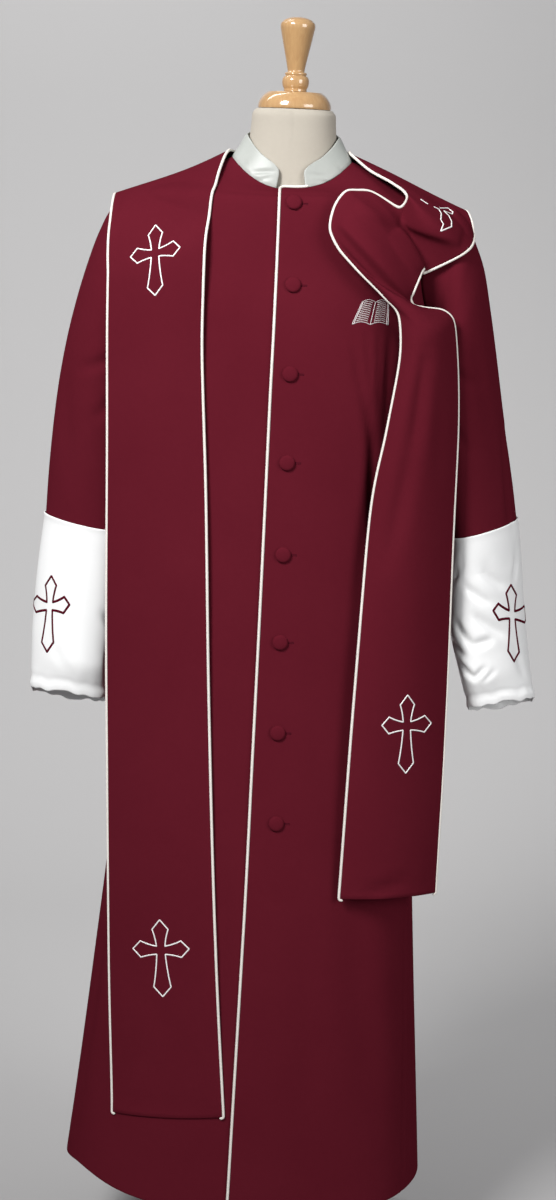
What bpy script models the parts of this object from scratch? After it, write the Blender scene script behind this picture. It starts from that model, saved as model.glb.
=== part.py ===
"""Clergy robe with a straight-ended stole, buttoned on a limbless dress form.

Metres, +Z up. The origin is the middle of the stand's underside. The front faces -Y and +X is the
wearer's left. Every cloth panel is a wall between an outer face and the same face moved in.
"""

import math
from collections import namedtuple

import bmesh
import bpy
import numpy as np
from mathutils import Vector
from mathutils.bvhtree import BVHTree

COLLECTION = "clergy_robe"

# Cloth and seams
CLOTH = 0.002
STOLE_CLOTH = 0.0016
SEAM_GAP = 0.0003
LAP_GAP = 0.0005
SLEEVE_HEAD_EASE = 0.00072
PIPING_RADIUS = 0.0022
PIPING_CORNER_STEP = 0.0012
NECKLINE_PIPING_DEGREES = (0, 5, 10, 14)
LAP_COLUMNS = (0.002, 0.015, 0.028)
LAP_RISE = (1, 1, 1, 1, 0.6, 0.2)

# Buttons from the neck down: how far each is from the middle plane, and its height.
Button = namedtuple("Button", "x height")
BUTTONS = (
    Button(0.0052, 1.540),
    Button(0.0087, 1.431),
    Button(0.0099, 1.312),
    Button(0.0111, 1.191),
    Button(0.0112, 1.064),
    Button(0.0123, 0.942),
    Button(0.0144, 0.815),
    Button(0.0178, 0.688),
)
BUTTON_RADIUS = 0.011
BUTTON_DEPTH = 0.0055
BUTTON_CLEARANCE = 0.0006
BUTTON_SEARCH_LEVELS = 241

# Sides of the turned pieces
BUTTON_STEPS = 14
CAP_STEPS = 20
FINIAL_STEPS = 16
BASE_STEPS = 24
POLE_SIDES = 16
TURNED_MERGE = 0.00001

# Laying of one cloth on another
SHORTER_DIAGONAL = 0.92
SETTLE_ROUNDS = 14
SETTLE_SHARE = 0.7
SETTLE_PLACES = (0.25, 0.5, 0.75)
TOUCHING = 0.00001

# Dress form and stand
FORM_BOTTOM = 0.90
NECK_TOP = 1.6672
CAP_BOTTOM = 1.6675
FINIAL_BOTTOM = 1.6913
POLE_RADIUS = 0.0125
BASE_RADIUS = 0.185
BASE_HEIGHT = 0.022

# Body of the robe, one row a level from the hem up. Depths are from the middle plane.
Level = namedtuple("Level", "height half_width front back front_drop back_rise centre lap_edge fold")
BODY = (
    Level(0.135, 0.262, 0.215, 0.208, 0.000, 0.000, -0.010, -0.0255, 0.0070),
    Level(0.300, 0.247, 0.199, 0.192, 0.000, 0.000, -0.007, -0.0228, 0.0052),
    Level(0.450, 0.234, 0.184, 0.178, 0.000, 0.000, -0.005, -0.0203, 0.0038),
    Level(0.600, 0.222, 0.168, 0.164, 0.000, 0.000, -0.003, -0.0180, 0.0026),
    Level(0.750, 0.213, 0.153, 0.152, 0.000, 0.000, -0.001, -0.0170, 0.0016),
    Level(0.920, 0.205, 0.143, 0.144, 0.000, 0.000, 0.000, -0.0156, 0.0008),
    Level(1.100, 0.200, 0.140, 0.134, 0.000, 0.000, 0.000, -0.0144, 0.0003),
    Level(1.280, 0.203, 0.140, 0.135, 0.000, 0.000, 0.000, -0.0136, 0.0),
    Level(1.380, 0.207, 0.134, 0.137, 0.000, 0.000, 0.000, -0.0126, 0.0),
    Level(1.460, 0.209, 0.118, 0.131, 0.000, 0.000, 0.000, -0.0124, 0.0),
    Level(1.540, 0.204, 0.098, 0.113, 0.002, 0.000, 0.000, -0.0128, 0.0),
    Level(1.568, 0.150, 0.084, 0.088, 0.017, 0.008, 0.000, -0.0130, 0.0),
    Level(1.600, 0.084, 0.060, 0.064, 0.042, 0.020, 0.000, -0.0130, 0.0),
)
SQUARENESS = 0.85
UNDERARM = 7.7
SHOULDER_TIP = 10.15
SEAM_LEVELS = 0.012
NECK = len(BODY) - 1
FRONT_ARMHOLE_DIP = 30
BACK_ARMHOLE_DIP = 27
ARMHOLE_ROUNDNESS = 0.7
SKIRT_LEVELS = 14
ARMHOLE_LEVELS = 8
SHOULDER_LEVELS = 6
SIDE_COLUMNS = 8
BACK_COLUMNS = 16
SLEEVE_COLUMNS = 2 * ARMHOLE_LEVELS

# Upright folds of the skirt: how many, and how deep next to each level's fold.
BACK_FOLDS = 5
BACK_FOLD_DEPTH = 1.5
FRONT_FOLDS = 7
FRONT_FOLD_DEPTH = 0.6
FRONT_FOLD_PHASE = 0.6

# Sleeves from the shoulder down: the outer and inner points of each ring, half its depth, the place
# of its middle, and how far its outer end leans to the back.
Ring = namedtuple("Ring", "outer outer_height inner inner_height half_depth middle lean")
RIGHT_SLEEVE = (
    Ring(0.2290, 1.5400, 0.2100, 1.3545, 0.0740, 0.000, 0.00),
    Ring(0.2500, 1.5200, 0.2110, 1.3490, 0.0800, 0.000, 0.00),
    Ring(0.2660, 1.4880, 0.2116, 1.3400, 0.0825, 0.000, 0.05),
    Ring(0.2800, 1.4480, 0.2120, 1.3240, 0.0825, 0.000, 0.10),
    Ring(0.2960, 1.3920, 0.2128, 1.3040, 0.0800, 0.001, 0.18),
    Ring(0.3090, 1.3350, 0.2140, 1.2750, 0.0760, 0.002, 0.28),
    Ring(0.3195, 1.2700, 0.2155, 1.2300, 0.0710, 0.003, 0.38),
    Ring(0.3270, 1.2000, 0.2170, 1.1750, 0.0660, 0.004, 0.48),
    Ring(0.3315, 1.1350, 0.2195, 1.1200, 0.0620, 0.004, 0.55),
    Ring(0.3340, 1.0730, 0.2225, 1.0620, 0.0590, 0.004, 0.60),
)
LEFT_SLEEVE = (
    Ring(0.2290, 1.5400, 0.2100, 1.3545, 0.0740, 0.000, 0.00),
    Ring(0.2480, 1.5220, 0.2110, 1.3490, 0.0800, 0.000, 0.00),
    Ring(0.2620, 1.4950, 0.2116, 1.3400, 0.0825, 0.000, 0.05),
    Ring(0.2760, 1.4600, 0.2120, 1.3240, 0.0825, 0.000, 0.10),
    Ring(0.2885, 1.4050, 0.2134, 1.3040, 0.0800, 0.000, 0.18),
    Ring(0.2985, 1.3560, 0.2160, 1.2780, 0.0760, 0.000, 0.28),
    Ring(0.3100, 1.2950, 0.2210, 1.2320, 0.0710, 0.001, 0.38),
    Ring(0.3220, 1.2300, 0.2290, 1.1800, 0.0660, 0.002, 0.48),
    Ring(0.3350, 1.1620, 0.2400, 1.1270, 0.0620, 0.003, 0.55),
    Ring(0.3480, 1.0920, 0.2520, 1.0720, 0.0590, 0.004, 0.60),
)
RIGHT_CUFF = (
    Ring(0.3405, 1.0400, 0.2240, 1.0290, 0.0600, 0.004, 0.60),
    Ring(0.3460, 0.9750, 0.2270, 0.9640, 0.0590, 0.003, 0.60),
    Ring(0.3490, 0.9000, 0.2310, 0.8950, 0.0570, 0.002, 0.58),
    Ring(0.3470, 0.8270, 0.2350, 0.8240, 0.0560, 0.000, 0.55),
)
LEFT_CUFF = (
    Ring(0.3570, 1.0450, 0.2500, 1.0300, 0.0600, 0.004, 0.60),
    Ring(0.3645, 0.9800, 0.2530, 0.9600, 0.0590, 0.003, 0.60),
    Ring(0.3760, 0.9000, 0.2690, 0.8930, 0.0570, 0.002, 0.58),
    Ring(0.3860, 0.8440, 0.2880, 0.8340, 0.0540, 0.000, 0.55),
)
SLEEVE_RINGS = 13
CUFF_RINGS = 6
CUFF_LAP = 0.75

# Collar band: half its width and depth, the heights at its sides and how its front dips.
Band = namedtuple("Band", "half_width front back height front_drop back_rise opening")
COLLAR = (
    Band(0.0843, 0.0603, 0.0643, 1.6004, 0.0418, 0.0200, 11.0),
    Band(0.0740, 0.0570, 0.0600, 1.6170, 0.0422, 0.0240, 11.0),
    Band(0.0655, 0.0545, 0.0570, 1.6320, 0.0428, 0.0260, 13.0),
)
COLLAR_RINGS = 4

# Stole ribs from the centre back down: the rows of cells from each to the next, its inner edge, its
# middle and its outer edge. Places are measured on the wearer's left.
Rib = namedtuple("Rib", "place rows inner middle outer")
RIGHT_STOLE = (
    Rib("centre back", 3, (0.0004, 0.0850, 1.588), (0.0004, 0.1180, 1.515), (0.0004, 0.1440, 1.437)),
    Rib("back", 5, (0.0460, 0.0760, 1.594), (0.0720, 0.1090, 1.522), (0.0900, 0.1410, 1.446)),
    Rib("shoulder blade", 5, (0.0760, 0.0440, 1.604), (0.1200, 0.0780, 1.552), (0.1780, 0.1000, 1.486)),
    Rib("crest", 5, (0.0895, 0.0000, 1.608), (0.1680, 0.0050, 1.572), (0.2440, 0.0120, 1.543)),
    Rib("shoulder front", 4, (0.1010, -0.0500, 1.580), (0.1720, -0.0620, 1.538), (0.2450, -0.0500, 1.508)),
    Rib("chest", 3, (0.1090, -0.0880, 1.532), (0.1760, -0.0950, 1.490), (0.2440, -0.0760, 1.458)),
    Rib("armhole", 3, (0.1150, -0.1180, 1.472), (0.1790, -0.1130, 1.440), (0.2430, -0.0880, 1.410)),
    Rib("below armhole", 4, (0.1140, -0.1300, 1.366), (0.1770, -0.1190, 1.352), (0.2415, -0.0930, 1.338)),
    Rib("elbow", 4, (0.0999, -0.1350, 1.136), (0.1680, -0.1220, 1.136), (0.2360, -0.0920, 1.136)),
    Rib("hip", 3, (0.0850, -0.1440, 0.858), (0.1560, -0.1290, 0.858), (0.2270, -0.0970, 0.858)),
    Rib("thigh", 2, (0.0705, -0.1650, 0.633), (0.1440, -0.1500, 0.633), (0.2180, -0.1120, 0.630)),
    Rib("knee", 2, (0.0552, -0.1860, 0.438), (0.1310, -0.1700, 0.438), (0.2070, -0.1320, 0.430)),
    Rib("end", 1, (0.0398, -0.2060, 0.273), (0.1180, -0.1900, 0.262), (0.1960, -0.1520, 0.252)),
)
LEFT_STOLE = (
    Rib("centre back", 3, (0.0004, 0.0850, 1.588), (0.0004, 0.1180, 1.515), (0.0004, 0.1440, 1.437)),
    Rib("back", 5, (0.0460, 0.0760, 1.594), (0.0720, 0.1090, 1.522), (0.0900, 0.1410, 1.446)),
    Rib("shoulder blade", 5, (0.0740, 0.0440, 1.606), (0.1200, 0.0780, 1.555), (0.1780, 0.1000, 1.490)),
    Rib("crest", 3, (0.0800, -0.0050, 1.610), (0.1740, 0.0050, 1.571), (0.2440, 0.0200, 1.541)),
    Rib("ridge start", 3, (0.1110, -0.0350, 1.588), (0.1860, -0.0350, 1.560), (0.2570, -0.0200, 1.508)),
    Rib("ridge", 2, (0.1420, -0.0650, 1.572), (0.1940, -0.0750, 1.542), (0.2530, -0.0560, 1.496)),
    Rib("first turn", 2, (0.1600, -0.0900, 1.556), (0.1900, -0.0980, 1.521), (0.2350, -0.0820, 1.480)),
    Rib("hollow", 2, (0.1490, -0.0840, 1.538), (0.1690, -0.0840, 1.500), (0.1870, -0.0840, 1.455)),
    Rib("hollow end", 2, (0.1050, -0.0940, 1.561), (0.1440, -0.1030, 1.513), (0.1860, -0.0960, 1.461)),
    Rib("second turn", 2, (0.0800, -0.1050, 1.561), (0.1270, -0.1220, 1.513), (0.1790, -0.1120, 1.448)),
    Rib("lobe top", 2, (0.0600, -0.1180, 1.536), (0.1110, -0.1400, 1.494), (0.1710, -0.1210, 1.429)),
    Rib("lobe", 2, (0.0560, -0.1280, 1.512), (0.1070, -0.1470, 1.464), (0.1690, -0.1220, 1.418)),
    Rib("lobe under", 2, (0.0670, -0.1370, 1.487), (0.1260, -0.1450, 1.439), (0.1730, -0.1190, 1.4125)),
    Rib("slope", 2, (0.0950, -0.1430, 1.456), (0.1580, -0.1500, 1.418), (0.1900, -0.1140, 1.4085)),
    Rib("slope end", 2, (0.1330, -0.1470, 1.421), (0.1830, -0.1540, 1.397), (0.2110, -0.1090, 1.406)),
    Rib("third turn", 2, (0.1550, -0.1480, 1.396), (0.1970, -0.1550, 1.374), (0.2290, -0.1020, 1.393)),
    Rib("below turn", 2, (0.1600, -0.1450, 1.345), (0.1980, -0.1540, 1.330), (0.2370, -0.0950, 1.345)),
    Rib("chest", 3, (0.1470, -0.1410, 1.242), (0.1960, -0.1460, 1.242), (0.2440, -0.0900, 1.241)),
    Rib("elbow", 4, (0.1300, -0.1390, 1.131), (0.1890, -0.1410, 1.131), (0.2460, -0.0890, 1.129)),
    Rib("hip", 4, (0.1200, -0.1490, 0.865), (0.1820, -0.1400, 0.865), (0.2500, -0.0890, 0.858)),
    Rib("end", 1, (0.1120, -0.1650, 0.585), (0.1830, -0.1520, 0.585), (0.2490, -0.0980, 0.580)),
)
STOLE_COLUMNS = 7
CENTRE_BACK_START = 0.0009

# Turned profiles, top to bottom: radius and height.
FINIAL = (
    (0.0000, 1.7930), (0.0120, 1.7910), (0.0205, 1.7860), (0.0243, 1.7790), (0.0236, 1.7700),
    (0.0185, 1.7520), (0.0125, 1.7320), (0.0104, 1.7170), (0.0125, 1.7120), (0.0180, 1.7080),
    (0.0187, 1.7040), (0.0175, 1.6990), (0.0135, 1.6960), (0.0150, FINIAL_BOTTOM),
    (0.0000, FINIAL_BOTTOM),
)
NECK_CAP = (
    (0.0000, 1.6910), (0.0340, 1.6910), (0.0390, 1.6895), (0.0450, 1.6850), (0.0495, 1.6780),
    (0.0510, 1.6710), (0.0500, CAP_BOTTOM), (0.0000, CAP_BOTTOM),
)
STAND_BASE = (
    (0.0000, BASE_HEIGHT), (0.0300, BASE_HEIGHT), (0.1700, 0.0150), (0.1820, 0.0110),
    (BASE_RADIUS, 0.0060), (0.1820, 0.0000), (0.0000, 0.0000),
)
BUTTON = (
    (0.0000, BUTTON_DEPTH), (0.0060, BUTTON_DEPTH - 0.0007), (0.0095, BUTTON_DEPTH - 0.0022),
    (BUTTON_RADIUS, 0.0020), (0.0095, 0.0000), (0.0000, 0.0000),
)

# Neck of the form: each ring's size at its sides, how its front dips and how its back rises.
Neck = namedtuple("Neck", "height half_width front back front_drop back_rise")
FORM_NECK = (
    Neck(1.597, 0.0760, 0.0520, 0.0560, 0.0415, 0.0190),
    Neck(1.606, 0.0680, 0.0495, 0.0535, 0.0385, 0.0190),
    Neck(1.622, 0.0615, 0.0490, 0.0520, 0.0265, 0.0150),
    Neck(1.645, 0.0590, 0.0500, 0.0520, 0.0080, 0.0040),
    Neck(1.660, 0.0580, 0.0515, 0.0520, 0.0025, 0.0010),
    Neck(NECK_TOP, 0.0530, 0.0500, 0.0500, 0.0000, 0.0000),
)
# Clearance between the form and the robe at places from the hips to the neck.
FORM_PLACES = (5.0, 8.0, 9.6, 10.4, NECK)
FORM_CLEARANCES = (0.030, 0.016, 0.004, 0.0008, 0.0008)
FORM_FIRST_LEVEL = 9

# Finishes: colour, roughness and metallic value of each material.
FINISHES = {
    "burgundy_cloth": ((0.115, 0.010, 0.024), 0.75, 0.0),
    "white_satin": ((0.830, 0.830, 0.800), 0.35, 0.0),
    "white_piping": ((0.740, 0.700, 0.640), 0.60, 0.0),
    "form_linen": ((0.560, 0.530, 0.450), 0.85, 0.0),
    "maple_wood": ((0.500, 0.250, 0.085), 0.25, 0.0),
    "stand_metal": ((0.180, 0.180, 0.190), 0.40, 1.0),
}


def smooth(table, place):
    """Row of numbers at a fractional place in a table, on a curve that stays between its rows."""
    values = np.array(table, float)
    steps = np.diff(values, axis=0)
    before, after = steps[:-1], steps[1:]
    same_way = before * after > 0
    slopes = np.empty_like(values)
    slopes[0], slopes[-1] = steps[0], steps[-1]
    slopes[1:-1] = np.where(same_way, 2 * before * after / np.where(same_way, before + after, 1), 0)
    row = min(max(int(place), 0), len(steps) - 1)
    t = place - row
    rise = t * t * (3 - 2 * t)
    return (
        values[row] * (1 - rise)
        + values[row + 1] * rise
        + slopes[row] * t * (1 - t) ** 2
        - slopes[row + 1] * t * t * (1 - t)
    )


def body_level(level):
    return Level(*smooth(BODY, level))


def signed_power(value):
    return math.copysign(abs(value) ** SQUARENESS, value)


def body_shape(level, angle):
    """Point of the body's outer face. The angle is 0 at the front and grows to the wearer's left."""
    row = body_level(level)
    across, ahead = math.sin(angle), math.cos(angle)
    depth = row.front if ahead > 0 else row.back
    folds = 1 + row.fold / row.half_width * fold_wave(angle)
    return Vector((
        row.centre + row.half_width * signed_power(across) * folds,
        -depth * signed_power(ahead) * folds,
        row.height - row.front_drop * max(ahead, 0) ** 2 + row.back_rise * max(-ahead, 0) ** 2,
    ))


def fold_wave(angle):
    """Soft upright folds of the skirt, deeper at the back than at the front."""
    back = BACK_FOLD_DEPTH * max(-math.cos(angle), 0)
    front = FRONT_FOLD_DEPTH * max(math.cos(angle), 0)
    behind = back * math.cos(2 * BACK_FOLDS * (angle - math.pi))
    return behind + front * math.cos(FRONT_FOLDS * angle + FRONT_FOLD_PHASE)


def body_normal(level, angle):
    step = 1e-3
    across = body_shape(level, angle + step) - body_shape(level, angle - step)
    upward = body_shape(level + step, angle) - body_shape(level - step, angle)
    return across.cross(upward).normalized()


def body_point(level, angle, out=0.0):
    return body_shape(level, angle) + out * body_normal(level, angle)


def angle_at(level, x):
    """Front angle at which the body's outer face is at this x."""
    row = body_level(level)
    share = (x - row.centre) / row.half_width
    return math.copysign(math.asin(abs(share) ** (1 / SQUARENESS)), share)


def armhole_levels():
    """Levels from the underarm to the shoulder tip, closer together at both ends."""
    rise = (1 - np.cos(np.linspace(0, math.pi, ARMHOLE_LEVELS + 1))) / 2
    return UNDERARM + (SHOULDER_TIP - UNDERARM) * rise


def panel_levels():
    skirt = np.linspace(0, UNDERARM, SKIRT_LEVELS + 1)
    armhole = armhole_levels()
    shoulder = np.linspace(SHOULDER_TIP, NECK, SHOULDER_LEVELS + 1)
    return np.concatenate([skirt, armhole[1:], shoulder[1:]])


def armhole_dip(level, deepest):
    """How far the armhole's edge lies from the side, as an angle."""
    share = (level - UNDERARM) / (SHOULDER_TIP - UNDERARM)
    if not 0 < share < 1:
        return 0.0
    return math.radians(deepest) * math.sin(math.pi * share) ** ARMHOLE_ROUNDNESS


def front_edge(level):
    """Outer angle of a front, at the side seam, the armhole and the shoulder seam."""
    gap = SEAM_GAP / 2 / body_level(level).front
    return math.pi / 2 - armhole_dip(level, FRONT_ARMHOLE_DIP) - gap


def back_edge(level):
    gap = SEAM_GAP / 2 / body_level(level).back
    return math.pi / 2 + armhole_dip(level, BACK_ARMHOLE_DIP) + gap


def wall(name, outer, normals, thickness, material, closed_round=False):
    """Closed cloth wall between a grid of outer points and the same grid moved in."""
    rows, columns = len(outer), len(outer[0])
    mesh = bmesh.new()
    faces_in = [
        [point - thickness * normal for point, normal in zip(points, ways)]
        for points, ways in zip(outer, normals)
    ]
    outside = [[mesh.verts.new(point) for point in points] for points in outer]
    inside = [[mesh.verts.new(point) for point in points] for points in faces_in]

    def cell(a, b, c, d, turned=False):
        if turned:
            a, b, c, d = b, c, d, a
        mesh.faces.new((a, b, c))
        mesh.faces.new((a, c, d))

    spans = columns if closed_round else columns - 1
    for row in range(rows - 1):
        for column in range(spans):
            following = (column + 1) % columns
            corners = ((row, column), (row, following), (row + 1, following), (row + 1, column))
            turned = split_across(*(outer[r][c] for r, c in corners))
            cell(*(outside[r][c] for r, c in corners), turned)
            cell(*(inside[r][c] for r, c in corners), turned)
    for row, flip in ((0, False), (rows - 1, True)):
        for column in range(spans):
            following = (column + 1) % columns
            rim = [inside[row][column], inside[row][following], outside[row][following], outside[row][column]]
            cell(*(reversed(rim) if flip else rim))
    if not closed_round:
        for column, flip in ((0, True), (columns - 1, False)):
            for row in range(rows - 1):
                rim = [inside[row][column], inside[row + 1][column], outside[row + 1][column], outside[row][column]]
                cell(*(rim if flip else reversed(rim)))
    bmesh.ops.recalc_face_normals(mesh, faces=mesh.faces)
    return finish(name, mesh, material)


def split_across(a, b, c, d):
    """Whether the other diagonal of a cell is plainly the shorter one."""
    return (b - d).length < SHORTER_DIAGONAL * (a - c).length


def solid_loft(name, rings, material):
    """Closed solid through rings of points, with a flat face at each end."""
    mesh = bmesh.new()
    loops = [[mesh.verts.new(point) for point in ring] for ring in rings]
    for lower, upper in zip(loops, loops[1:]):
        for i in range(len(lower)):
            j = (i + 1) % len(lower)
            mesh.faces.new((lower[i], lower[j], upper[j], upper[i]))
    mesh.faces.new(loops[0])
    mesh.faces.new(loops[-1])
    bmesh.ops.triangulate(mesh, faces=mesh.faces)
    bmesh.ops.recalc_face_normals(mesh, faces=mesh.faces)
    return finish(name, mesh, material)


def finish(name, mesh, material):
    data = bpy.data.meshes.new(name)
    mesh.to_mesh(data)
    mesh.free()
    data.shade_smooth()
    return place(bpy.data.objects.new(name, data), material)


def place(piece, material):
    piece.data.materials.append(bpy.data.materials[material])
    bpy.data.collections[COLLECTION].objects.link(piece)
    return piece


def turned(name, profile, material, steps):
    """Turned piece from a profile that runs down its outer side, with a Screw modifier."""
    data = bpy.data.meshes.new(name)
    points = [(radius, 0, height) for radius, height in profile]
    data.from_pydata(points, [(i, i + 1) for i in range(len(points) - 1)], [])
    piece = place(bpy.data.objects.new(name, data), material)
    screw = piece.modifiers.new("turn", "SCREW")
    screw.steps = steps
    screw.render_steps = steps
    screw.use_merge_vertices = True
    screw.merge_threshold = TURNED_MERGE
    return piece


def tube(name, points, radius, material):
    """Round cord along points, with filled ends."""
    curve = bpy.data.curves.new(name, "CURVE")
    curve.dimensions = "3D"
    curve.bevel_depth = radius
    curve.bevel_resolution = 1
    curve.use_fill_caps = True
    spline = curve.splines.new("POLY")
    spline.points.add(len(points) - 1)
    for slot, point in zip(spline.points, points):
        slot.co = (*point, 1)
    return place(bpy.data.objects.new(name, curve), material)


class Panel:
    """Outer points of a cloth panel with the direction that its face looks at each."""

    def __init__(self, points, normals, closed_round=False):
        self.points = points
        self.normals = normals
        self.closed_round = closed_round

    def faces(self):
        """Corners of each triangle of the outer face, in outward order."""
        columns = len(self.points[0])
        spans = columns if self.closed_round else columns - 1
        for row in range(len(self.points) - 1):
            for column in range(spans):
                following = (column + 1) % columns
                corners = ((row, column), (row, following), (row + 1, following), (row + 1, column))
                a, b, c, d = (self.points[r][k] for r, k in corners)
                if split_across(a, b, c, d):
                    a, b, c, d = b, c, d, a
                for triangle in ((a, b, c), (a, c, d)):
                    facing = (triangle[1] - triangle[0]).cross(triangle[2] - triangle[0])
                    yield triangle if facing.dot(self.normals[row][column]) > 0 else triangle[::-1]

    def build(self, name, thickness, material):
        return wall(name, self.points, self.normals, thickness, material, self.closed_round)


def tree_of(*panels, walls=()):
    """Search tree over the outer faces of panels, and all round finished walls, to lay pieces on."""
    corners = [corner for panel in panels for triangle in panel.faces() for corner in triangle]
    for piece in walls:
        points = [vertex.co for vertex in piece.data.vertices]
        corners += [points[index] for face in piece.data.polygons for index in face.vertices]
    triangles = [(i, i + 1, i + 2) for i in range(0, len(corners), 3)]
    return BVHTree.FromPolygons(corners, triangles)


def push_out(point, tree, distance):
    """Move that takes a point out to this distance from the faces of a tree."""
    near, normal, _, gap = tree.find_nearest(point)
    if near is None:
        return Vector()
    outside = (point - near).dot(normal) >= 0
    if outside and gap >= distance:
        return Vector()
    way = (point - near).normalized() if outside and gap > TOUCHING else normal
    return near + way * distance - point


def settle(grid, tree, distance):
    """Moves a grid out until its points and the middles of its cells are clear of a tree's faces."""
    rows, columns = len(grid), len(grid[0])
    for _ in range(SETTLE_ROUNDS):
        for row in grid:
            for column in range(columns):
                row[column] = row[column] + push_out(row[column], tree, distance)
        for row in range(rows):
            for column in range(columns):
                for down, along in ((1, 0), (0, 1), (1, 1), (1, -1)):
                    r, c = row + down, column + along
                    if r >= rows or not 0 <= c < columns:
                        continue
                    for share in SETTLE_PLACES:
                        between = grid[row][column].lerp(grid[r][c], share)
                        move = push_out(between, tree, distance) * SETTLE_SHARE
                        grid[row][column] = grid[row][column] + move
                        grid[r][c] = grid[r][c] + move
    return grid


def grid_normals(grid, closed_round=False):
    """Outward directions of a grid whose rows run down and whose columns run to the wearer's left."""
    points = np.array([[tuple(point) for point in row] for row in grid])
    down = np.gradient(points, axis=0)
    if closed_round:
        across = (np.roll(points, -1, axis=1) - np.roll(points, 1, axis=1)) / 2
    else:
        across = np.gradient(points, axis=1)
    normals = np.cross(down, across)
    normals /= np.linalg.norm(normals, axis=2, keepdims=True)
    return [[Vector(normal) for normal in row] for row in normals]


def front_angles(level, side):
    """Angles of a front's columns. Both fronts share those of the lap, on the wearer's left."""
    lap = [angle_at(level, x) for x in (body_level(level).lap_edge, *LAP_COLUMNS)]
    lap = lap if side > 0 else lap[::-1]
    spread = np.linspace(lap[-1], side * front_edge(level), SIDE_COLUMNS + 1)[1:]
    return [*lap, *spread]


def back_angles(level):
    edge = back_edge(level)
    return list(np.linspace(edge, 2 * math.pi - edge, BACK_COLUMNS + 1))


def front_panel(side):
    """One front. The wearer's left front, side 1, laps over the right one at the buttons."""
    outer, normals = [], []
    for level in panel_levels():
        angles = front_angles(level, side)
        raised = LAP_RISE if side > 0 else (0,) * len(LAP_RISE)
        lifts = [(CLOTH + LAP_GAP) * share for share in raised] + [0] * (len(angles) - len(raised))
        outer.append([body_point(level, angle, lift) for angle, lift in zip(angles, lifts)])
        normals.append([body_normal(level, angle) for angle in angles])
    return Panel(outer, normals)


def back_panel():
    levels = panel_levels()
    outer = [[body_point(level, angle) for angle in back_angles(level)] for level in levels]
    normals = [[body_normal(level, angle) for angle in back_angles(level)] for level in levels]
    return Panel(outer, normals)


def ring_points(row, side):
    """Points round one sleeve ring, from its outer end over the front to its inner end and back."""
    ring = Ring(*row)
    points = []
    for column in range(SLEEVE_COLUMNS):
        turn = 2 * math.pi * column / SLEEVE_COLUMNS
        along, over = math.cos(turn), math.sin(turn)
        depth = ring.lean * along - math.sqrt(1 - ring.lean ** 2) * over
        points.append(Vector((
            side * ((ring.outer + ring.inner) / 2 + (ring.outer - ring.inner) / 2 * along),
            ring.middle + ring.half_depth * depth,
            (ring.outer_height + ring.inner_height) / 2 + (ring.outer_height - ring.inner_height) / 2 * along,
        )))
    return points


def armhole_ring(side):
    """Points of the armhole and their outward directions, from the shoulder tip over the front."""
    levels = armhole_levels()[::-1]
    levels[0] -= SEAM_LEVELS
    levels[-1] += SEAM_LEVELS
    front = [
        (level, front_edge(level) + SLEEVE_HEAD_EASE / body_level(level).front) for level in levels[1:-1]
    ]
    back = [
        (level, back_edge(level) - SLEEVE_HEAD_EASE / body_level(level).back) for level in levels[-2:0:-1]
    ]
    places = [(levels[0], math.pi / 2), *front, (levels[-1], math.pi / 2), *back]
    points = [body_point(level, side * angle) for level, angle in places]
    normals = [body_normal(level, side * angle) for level, angle in places]
    return points, normals


def outward_normals(grid):
    """Directions from the middle of each ring of a sleeve, square to its wall."""
    normals = grid_normals(grid, closed_round=True)
    for points, ways in zip(grid, normals):
        middle = sum(points, Vector()) / len(points)
        for index, (point, way) in enumerate(zip(points, ways)):
            if way.dot(point - middle) < 0:
                ways[index] = -way
    return normals


def sleeve_panel(table, side):
    places = np.linspace(0, len(table) - 1, SLEEVE_RINGS)
    grid = [ring_points(smooth(table, place), side) for place in places]
    first, first_normals = armhole_ring(side)
    grid.insert(0, first)
    normals = outward_normals(grid)
    normals[0] = [(a + b).normalized() for a, b in zip(first_normals, normals[1])]
    return Panel(grid, normals, closed_round=True)


def cuff_panel(sleeve, table, side):
    """Cuff that starts over the end of its sleeve, from the sleeve's own points moved out."""
    out = CLOTH + LAP_GAP
    last = [point + out * way for point, way in zip(sleeve.points[-1], sleeve.normals[-1])]
    above = [point + out * way for point, way in zip(sleeve.points[-2], sleeve.normals[-2])]
    top = [a.lerp(b, CUFF_LAP) for a, b in zip(above, last)]
    places = np.linspace(0, len(table) - 1, CUFF_RINGS)
    grid = [top, last] + [ring_points(smooth(table, place), side) for place in places]
    return Panel(grid, outward_normals(grid), closed_round=True)


def neck_point(ring, angle):
    """Point on a ring round the neck whose front dips and whose back rises."""
    across, ahead = math.sin(angle), math.cos(angle)
    depth = ring.front if ahead > 0 else ring.back
    return Vector((
        ring.half_width * signed_power(across),
        -depth * signed_power(ahead),
        ring.height - ring.front_drop * max(ahead, 0) ** 2 + ring.back_rise * max(-ahead, 0) ** 2,
    ))


def collar_panel():
    """Standing band round the neck, open at the front, with the columns of the robe's neckline."""
    sides = [angle for angle in front_angles(NECK, 1) if angle > math.radians(COLLAR[-1].opening)]
    half = [*sides, *back_angles(NECK)[1:BACK_COLUMNS // 2]]
    outer = []
    for place_down in np.linspace(len(COLLAR) - 1, 0, COLLAR_RINGS):
        band = Band(*smooth(COLLAR, place_down))
        left = [math.radians(band.opening), *half]
        angles = [*left, math.pi, *(2 * math.pi - angle for angle in reversed(left))]
        points = [neck_point(band, angle) for angle in angles]
        for point, share in zip(points, LAP_RISE[len(LAP_COLUMNS) - 1:]):
            point.z += share * (CLOTH + LAP_GAP)
        outer.append(points)
    return Panel(outer, grid_normals(outer))


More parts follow.
